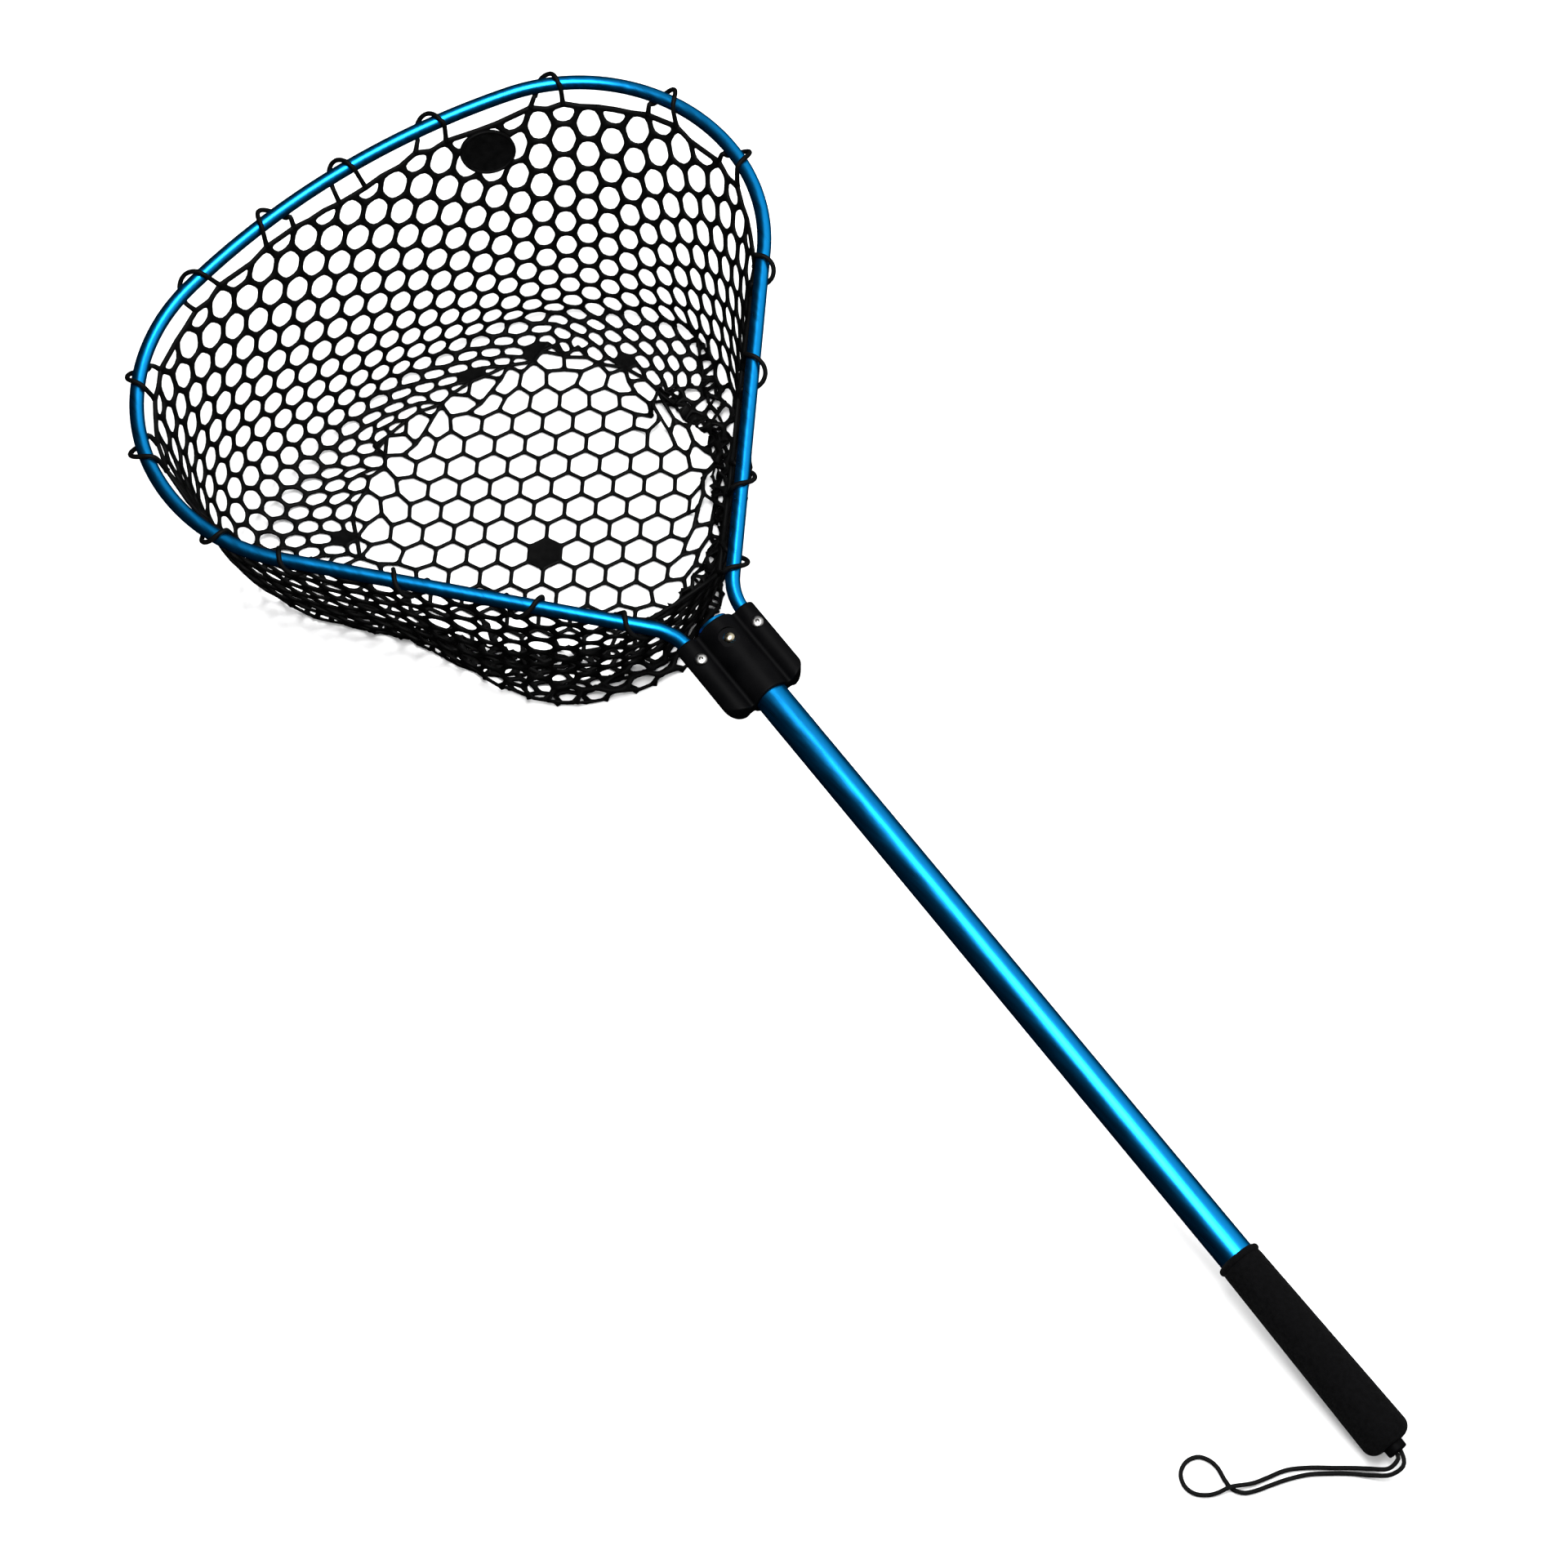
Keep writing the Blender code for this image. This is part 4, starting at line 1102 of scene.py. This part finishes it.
def slab(name, outline, low_z, high_z):
    def make(bm):
        face = bm.faces.new([bm.verts.new((x, y, low_z)) for x, y in outline])
        made = bmesh.ops.extrude_face_region(bm, geom=[face])["geom"]
        verts = [v for v in made if isinstance(v, bmesh.types.BMVert)]
        bmesh.ops.translate(bm, verts=verts, vec=(0.0, 0.0, high_z - low_z))
        bmesh.ops.recalc_face_normals(bm, faces=bm.faces)
    return primitive(name, make)


def boolean(obj, other, operation):
    made = obj.modifiers.new(operation.lower(), "BOOLEAN")
    made.operation = operation
    made.solver = "EXACT"
    made.object = other


def applied(obj):
    """A new mesh of obj as its modifiers make it."""
    graph = bpy.context.evaluated_depsgraph_get()
    graph.update()
    return bpy.data.meshes.new_from_object(obj.evaluated_get(graph))


def build_yoke(plastic):
    """Three joined barrels with soft valleys and rounded rear ends, then crisp bores, seats and a dish."""
    front, rear, top = YOKE_FRONT_X - YOKE_OVER, YOKE_REAR_X + YOKE_OVER, YOKE_CUT_TOP_Z
    body = rod("yoke_blank", YOKE_BARREL_R, (front, 0, 0), (rear, 0, 0), 96)
    web = [(front - 0.001, -LEG_Y), (rear + 0.001, -LEG_Y), (rear + 0.001, LEG_Y), (front - 0.001, LEG_Y)]
    helpers = [slab("web", web, -YOKE_WEB_Z, YOKE_WEB_Z)]
    for y in (LEG_Y, -LEG_Y):
        helpers.append(rod("boss", YOKE_BOSS_R, (front - 0.002, y, 0), (rear + 0.002, y, 0)))
    for helper in helpers:
        boolean(body, helper, "UNION")
    turn, nose = YOKE_CORNER_R, YOKE_NOSE_R
    plan = arc(YOKE_REAR_X - turn, turn - YOKE_HALF_Y, turn, -math.pi / 2, 0.0, 24)
    plan += arc(YOKE_REAR_X - turn, YOKE_HALF_Y - turn, turn, 0.0, math.pi / 2, 24)
    plan += arc(YOKE_FRONT_X + nose, YOKE_HALF_Y - nose, nose, math.pi / 2, math.pi, 8)
    plan += arc(YOKE_FRONT_X + nose, nose - YOKE_HALF_Y, nose, math.pi, 1.5 * math.pi, 8)
    outline = slab("plan", plan, -top, top)
    helpers.append(outline)
    boolean(body, outline, "INTERSECT")
    remesh = body.modifiers.new("even", "REMESH")
    remesh.mode = "VOXEL"
    remesh.voxel_size = YOKE_VOXEL
    soften = body.modifiers.new("soften", "SMOOTH")
    soften.factor = 0.5
    soften.iterations = 6

    def hole(name, radius, y, low_z):
        return rod(name, radius, (FASTENER_X, y, low_z), (FASTENER_X, y, top))

    cutters = [rod("bore", HANDLE_R + GAP, (front, 0, 0), (rear, 0, 0), 96),
               hole("button_hole", BUTTON_R + GAP, 0, 0.004),
               hole("dish", BUTTON_DISH_R, 0, BUTTON_DISH_Z)]
    for y in (LEG_Y, -LEG_Y):
        cutters += [rod("leg_bore", HOOP_R + GAP, (front, y, 0), (LEG_END_X + 0.001, y, 0)),
                    hole("rivet_seat", RIVET_HEAD_R + 2 * GAP, y, RIVET_SEAT_Z),
                    hole("rivet_hole", RIVET_SHANK_R + GAP, y, 0.001)]
    for cutter in cutters:
        boolean(body, cutter, "DIFFERENCE")
    mesh = applied(body)
    mesh.transform(PLANE)
    for helper in helpers + cutters + [body]:
        bpy.data.objects.remove(helper, do_unlink=True)
    piece("yoke_moulding", mesh, plastic, "yoke", smooth=50.0)


def build_fasteners(steel, brass):
    """The two blind rivets, their broken mandrels, and the snap button's dome and flange."""
    seat = RIVET_SEAT_Z + GAP
    crown = [(RIVET_CROWN_R + (RIVET_HEAD_R - 0.00005 - RIVET_CROWN_R) * math.sin(a),
              seat + RIVET_RIM_H + RIVET_CROWN_H * math.cos(a)) for a in np.linspace(0.0, math.pi / 2, 12)]
    head = [(RIVET_BORE_R, seat + 0.0015)] + crown + [
        (RIVET_HEAD_R, seat), (RIVET_SHANK_R, seat), (RIVET_SHANK_R, RIVET_BULB_Z + 0.0002),
        (RIVET_BULB_R, RIVET_BULB_Z), (RIVET_BULB_R, RIVET_END_Z), (RIVET_BORE_R, RIVET_END_Z)]
    stem_r = RIVET_BORE_R - GAP
    stem = fillet([(0.0, seat + MANDREL_SUNK), (stem_r, seat + MANDREL_SUNK), (stem_r, MANDREL_NECK_Z),
                   (MANDREL_HEAD_R, MANDREL_NECK_Z), (MANDREL_HEAD_R, MANDREL_HEAD_Z),
                   (0.0, MANDREL_END_Z)], 0.0003)
    for word, y in (("right", LEG_Y), ("left", -LEG_Y)):
        place = PLANE @ Matrix.Translation((FASTENER_X, y, 0.0))
        piece(f"rivet_head_{word}", turned_mesh("rivet", head, 48, place), steel, f"rivet_{word}")
        piece(f"rivet_pin_{word}", turned_mesh("pin", stem, 32, place, closed=False), steel,
              f"rivet_mandrel_{word}")

    under_z = BUTTON_FLANGE_Z - BUTTON_FLANGE_T
    dome = [(BUTTON_R * math.cos(a), BUTTON_TOP_Z - BUTTON_DOME_H * (1 - math.sin(a)))
            for a in np.linspace(math.pi / 2, 0.0, 20)]
    profile = dome + [(BUTTON_R, BUTTON_FLANGE_Z), (BUTTON_FLANGE_R, BUTTON_FLANGE_Z),
                      (BUTTON_FLANGE_R, under_z), (0.0, under_z)]
    place = PLANE @ Matrix.Translation((FASTENER_X, 0.0, 0.0))
    piece("button_dome", turned_mesh("button", profile, 48, place, closed=False), brass, "snap_button",
          body="button")


def build_handle(blue, foam_look, plastic):
    """The handle's tube with rounded ends, the foam grip with its rolled front lip, and the butt's plug."""
    inner = HANDLE_R - HANDLE_WALL
    lip = fillet([(HANDLE_R, HANDLE_REAR_X), (HANDLE_R, HANDLE_FRONT_X), (inner, HANDLE_FRONT_X),
                  (inner, HANDLE_REAR_X)], 0.0006)
    piece("handle", turned_mesh("handle", lip, 96, ALONG_X), blue, "handle_tube",
          body="handle")

    round_x = GRIP_REAR_X - GRIP_ROUND_R
    outside = arc(GRIP_REAR_R - GRIP_ROUND_R, round_x, GRIP_ROUND_R, 0.0, math.pi / 2, 20)
    outside = [(r, x) for r, x in reversed(outside)]
    body_x = GRIP_FRONT_X + GRIP_ROLL_LENGTH
    body = [(GRIP_FRONT_R + (GRIP_REAR_R - GRIP_FRONT_R) * t, body_x + (round_x - body_x) * t)
            for t in np.linspace(0.96, 0.0, 24)]
    roll = arc(GRIP_FRONT_R - 0.0015, GRIP_FRONT_X + GRIP_ROLL_X, GRIP_ROLL_R, math.radians(62.0),
               math.radians(-62.0), 14)
    bore = HANDLE_R + GAP
    profile = outside + body + roll + [(bore, GRIP_FRONT_X), (bore, GRIP_WALL_X),
                                       (NUB_R + GAP, GRIP_WALL_X), (NUB_R + GAP, GRIP_REAR_X)]
    piece("grip_sleeve", turned_mesh("grip_sleeve", profile, 96, ALONG_X), foam_look, "grip",
          body="handle")

    flange_x = HANDLE_REAR_X + GAP
    plug_r = inner - GAP
    flange_end_x = flange_x + BUTT_FLANGE_T
    nub = fillet([(CORD_HOLE_R, BUTT_PLUG_WALL_X), (CORD_HOLE_R, NUB_END_X), (NUB_R, NUB_END_X),
                  (NUB_R, flange_end_x)], 0.0014)
    profile = nub + [(BUTT_FLANGE_R, flange_end_x), (BUTT_FLANGE_R, flange_x), (plug_r, flange_x),
                     (plug_r, BUTT_PLUG_FRONT_X), (BUTT_PLUG_BORE_R, BUTT_PLUG_FRONT_X),
                     (BUTT_PLUG_BORE_R, BUTT_PLUG_WALL_X)]
    piece("butt_nub", turned_mesh("butt_nub", profile, 64, ALONG_X), plastic, "butt_cap",
          body="handle")


def build_lanyard(cord_look):
    """One cord out of the butt's hole, along its loose route on the floor and back in beside its start."""
    ends = [[to_world((x, side * CORD_SIDE, 0.0)) for x in (CORD_START_X, GRIP_WALL_X, NUB_END_X)]
            for side in (-1, 1)]
    fine = catmull_rom(ends[0] + list(LANYARD_ROUTE) + ends[1][::-1])
    along = run_along(fine)
    even = np.linspace(0.0, along[-1], 2 * LANYARD_POINTS)
    route = np.stack([np.interp(even, along, fine[:, k]) for k in range(3)], 1)
    data = bpy.data.curves.new("lanyard", "CURVE")
    data.dimensions = "3D"
    data.bevel_depth = CORD_R
    data.bevel_resolution = 4
    data.use_fill_caps = True
    spline = data.splines.new("POLY")
    spline.points.add(len(route) - 1)
    for point, place in zip(spline.points, route):
        point.co = (*place, 1.0)
    spline.use_smooth = True
    data.materials.append(cord_look)
    cord = placed("lanyard", data)
    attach(cord, "handle")
    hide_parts("lanyard_cord")


def dress_cad(names, material):
    """Gives the CAD nodes that stay in view, or inside, the finished material."""
    for name in names:
        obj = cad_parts[name]
        obj.data.materials.clear()
        obj.data.materials.append(material)


# ---- stage, light and camera

def build_stage():
    """A wide pale floor that the tubes don't mirror."""
    mat, shader = new_material("floor_look", grey(0.90), 0.75)
    tint(mat, noise(mat, 30.0, 3.0), shader, grey(0.895), grey(0.905))
    corners = [(x * FLOOR_HALF, y * FLOOR_HALF, FLOOR_Z) for x, y in ((-1, -1), (1, -1), (1, 1), (-1, 1))]
    mesh = mesh_of("floor", corners, [(0, 1, 2, 3)])
    mesh.materials.append(mat)
    floor = placed("floor", mesh)
    floor.visible_glossy = False


def lamp(kind, name, toward, strength, in_gloss=True, **settings):
    """A lamp that shines from the direction toward. Out of gloss, it lights surfaces but isn't mirrored."""
    light = bpy.data.lights.new(name, kind)
    light.energy = strength
    for key, value in settings.items():
        setattr(light, key, value)
    obj = placed(name, light)
    obj.rotation_euler = Vector(toward).to_track_quat("Z", "Y").to_euler()
    obj.visible_glossy = in_gloss
    return obj


def softbox(name, place, aim, size, strength):
    obj = lamp("AREA", name, Vector(place) - Vector(aim), strength, shape="RECTANGLE",
               size=size[0], size_y=size[1])
    obj.location = place


def build_light():
    """Overhead light for the floor, a softbox that the tubes mirror, and a dim room round them."""
    world = bpy.data.worlds.new("studio")
    bpy.context.scene.world = world
    world.use_nodes = True
    background = world.node_tree.nodes["Background"]
    coords = node(world, "ShaderNodeTexCoord")
    toward = node(world, "ShaderNodeVectorMath", operation="DOT_PRODUCT")
    toward.inputs[1].default_value = ROOM_BRIGHT_SIDE
    ramp = colour_ramp(world, ROOM_DARK_UNTIL, grey(ROOM_DARK), 1.0, grey(ROOM_BRIGHT))
    wire(world, coords, "Generated", toward, 0)
    wire(world, toward, "Value", ramp, "Fac")
    wire(world, ramp, "Color", background, "Color")
    lamp("SUN", "soft_overhead", (0.10, 0.05, 1.0), OVERHEAD, in_gloss=False, angle=math.radians(120.0))
    softbox("softbox", SOFTBOX_AT, (0.35, 0.0, 0.1), SOFTBOX_SIZE, SOFTBOX_WATTS)
    view = bpy.context.scene.view_settings
    view.view_transform = "Standard"
    view.look = "None"


def build_camera():
    data = bpy.data.cameras.new("camera")
    data.lens = CAMERA_FOCAL_MM
    data.sensor_width = 36.0
    camera = placed("camera", data)
    right, upward = Vector(CAMERA_RIGHT), Vector(CAMERA_UP)
    axes = Matrix((right, upward, right.cross(upward))).transposed().to_4x4()
    camera.matrix_world = Matrix.Translation(CAMERA_AT) @ axes
    bpy.context.scene.camera = camera


def main():
    blue = anodised("anodised_blue_look", (0.008, 0.32, 0.80))
    plastic = moulded_black("black_plastic_look", 0.50)
    steel = bright_metal("rivet_steel_look", (0.40, 0.395, 0.385), 0.27)
    brass = bright_metal("button_brass_look", (0.72, 0.64, 0.46), 0.22)
    cord_look = braided()
    rubber = net_rubber()
    build_camera()
    build_light()
    build_stage()
    build_lanyard(cord_look)
    build_net(rubber)
    build_hoop(blue)
    build_yoke(plastic)
    build_fasteners(steel, brass)
    build_handle(blue, foam(), plastic)
    dress_cad(["handle_front_plug"], plastic)
    dress_cad(["snap_button_spring"], steel)
    dress_cad(["lanyard_knot"], cord_look)


main()
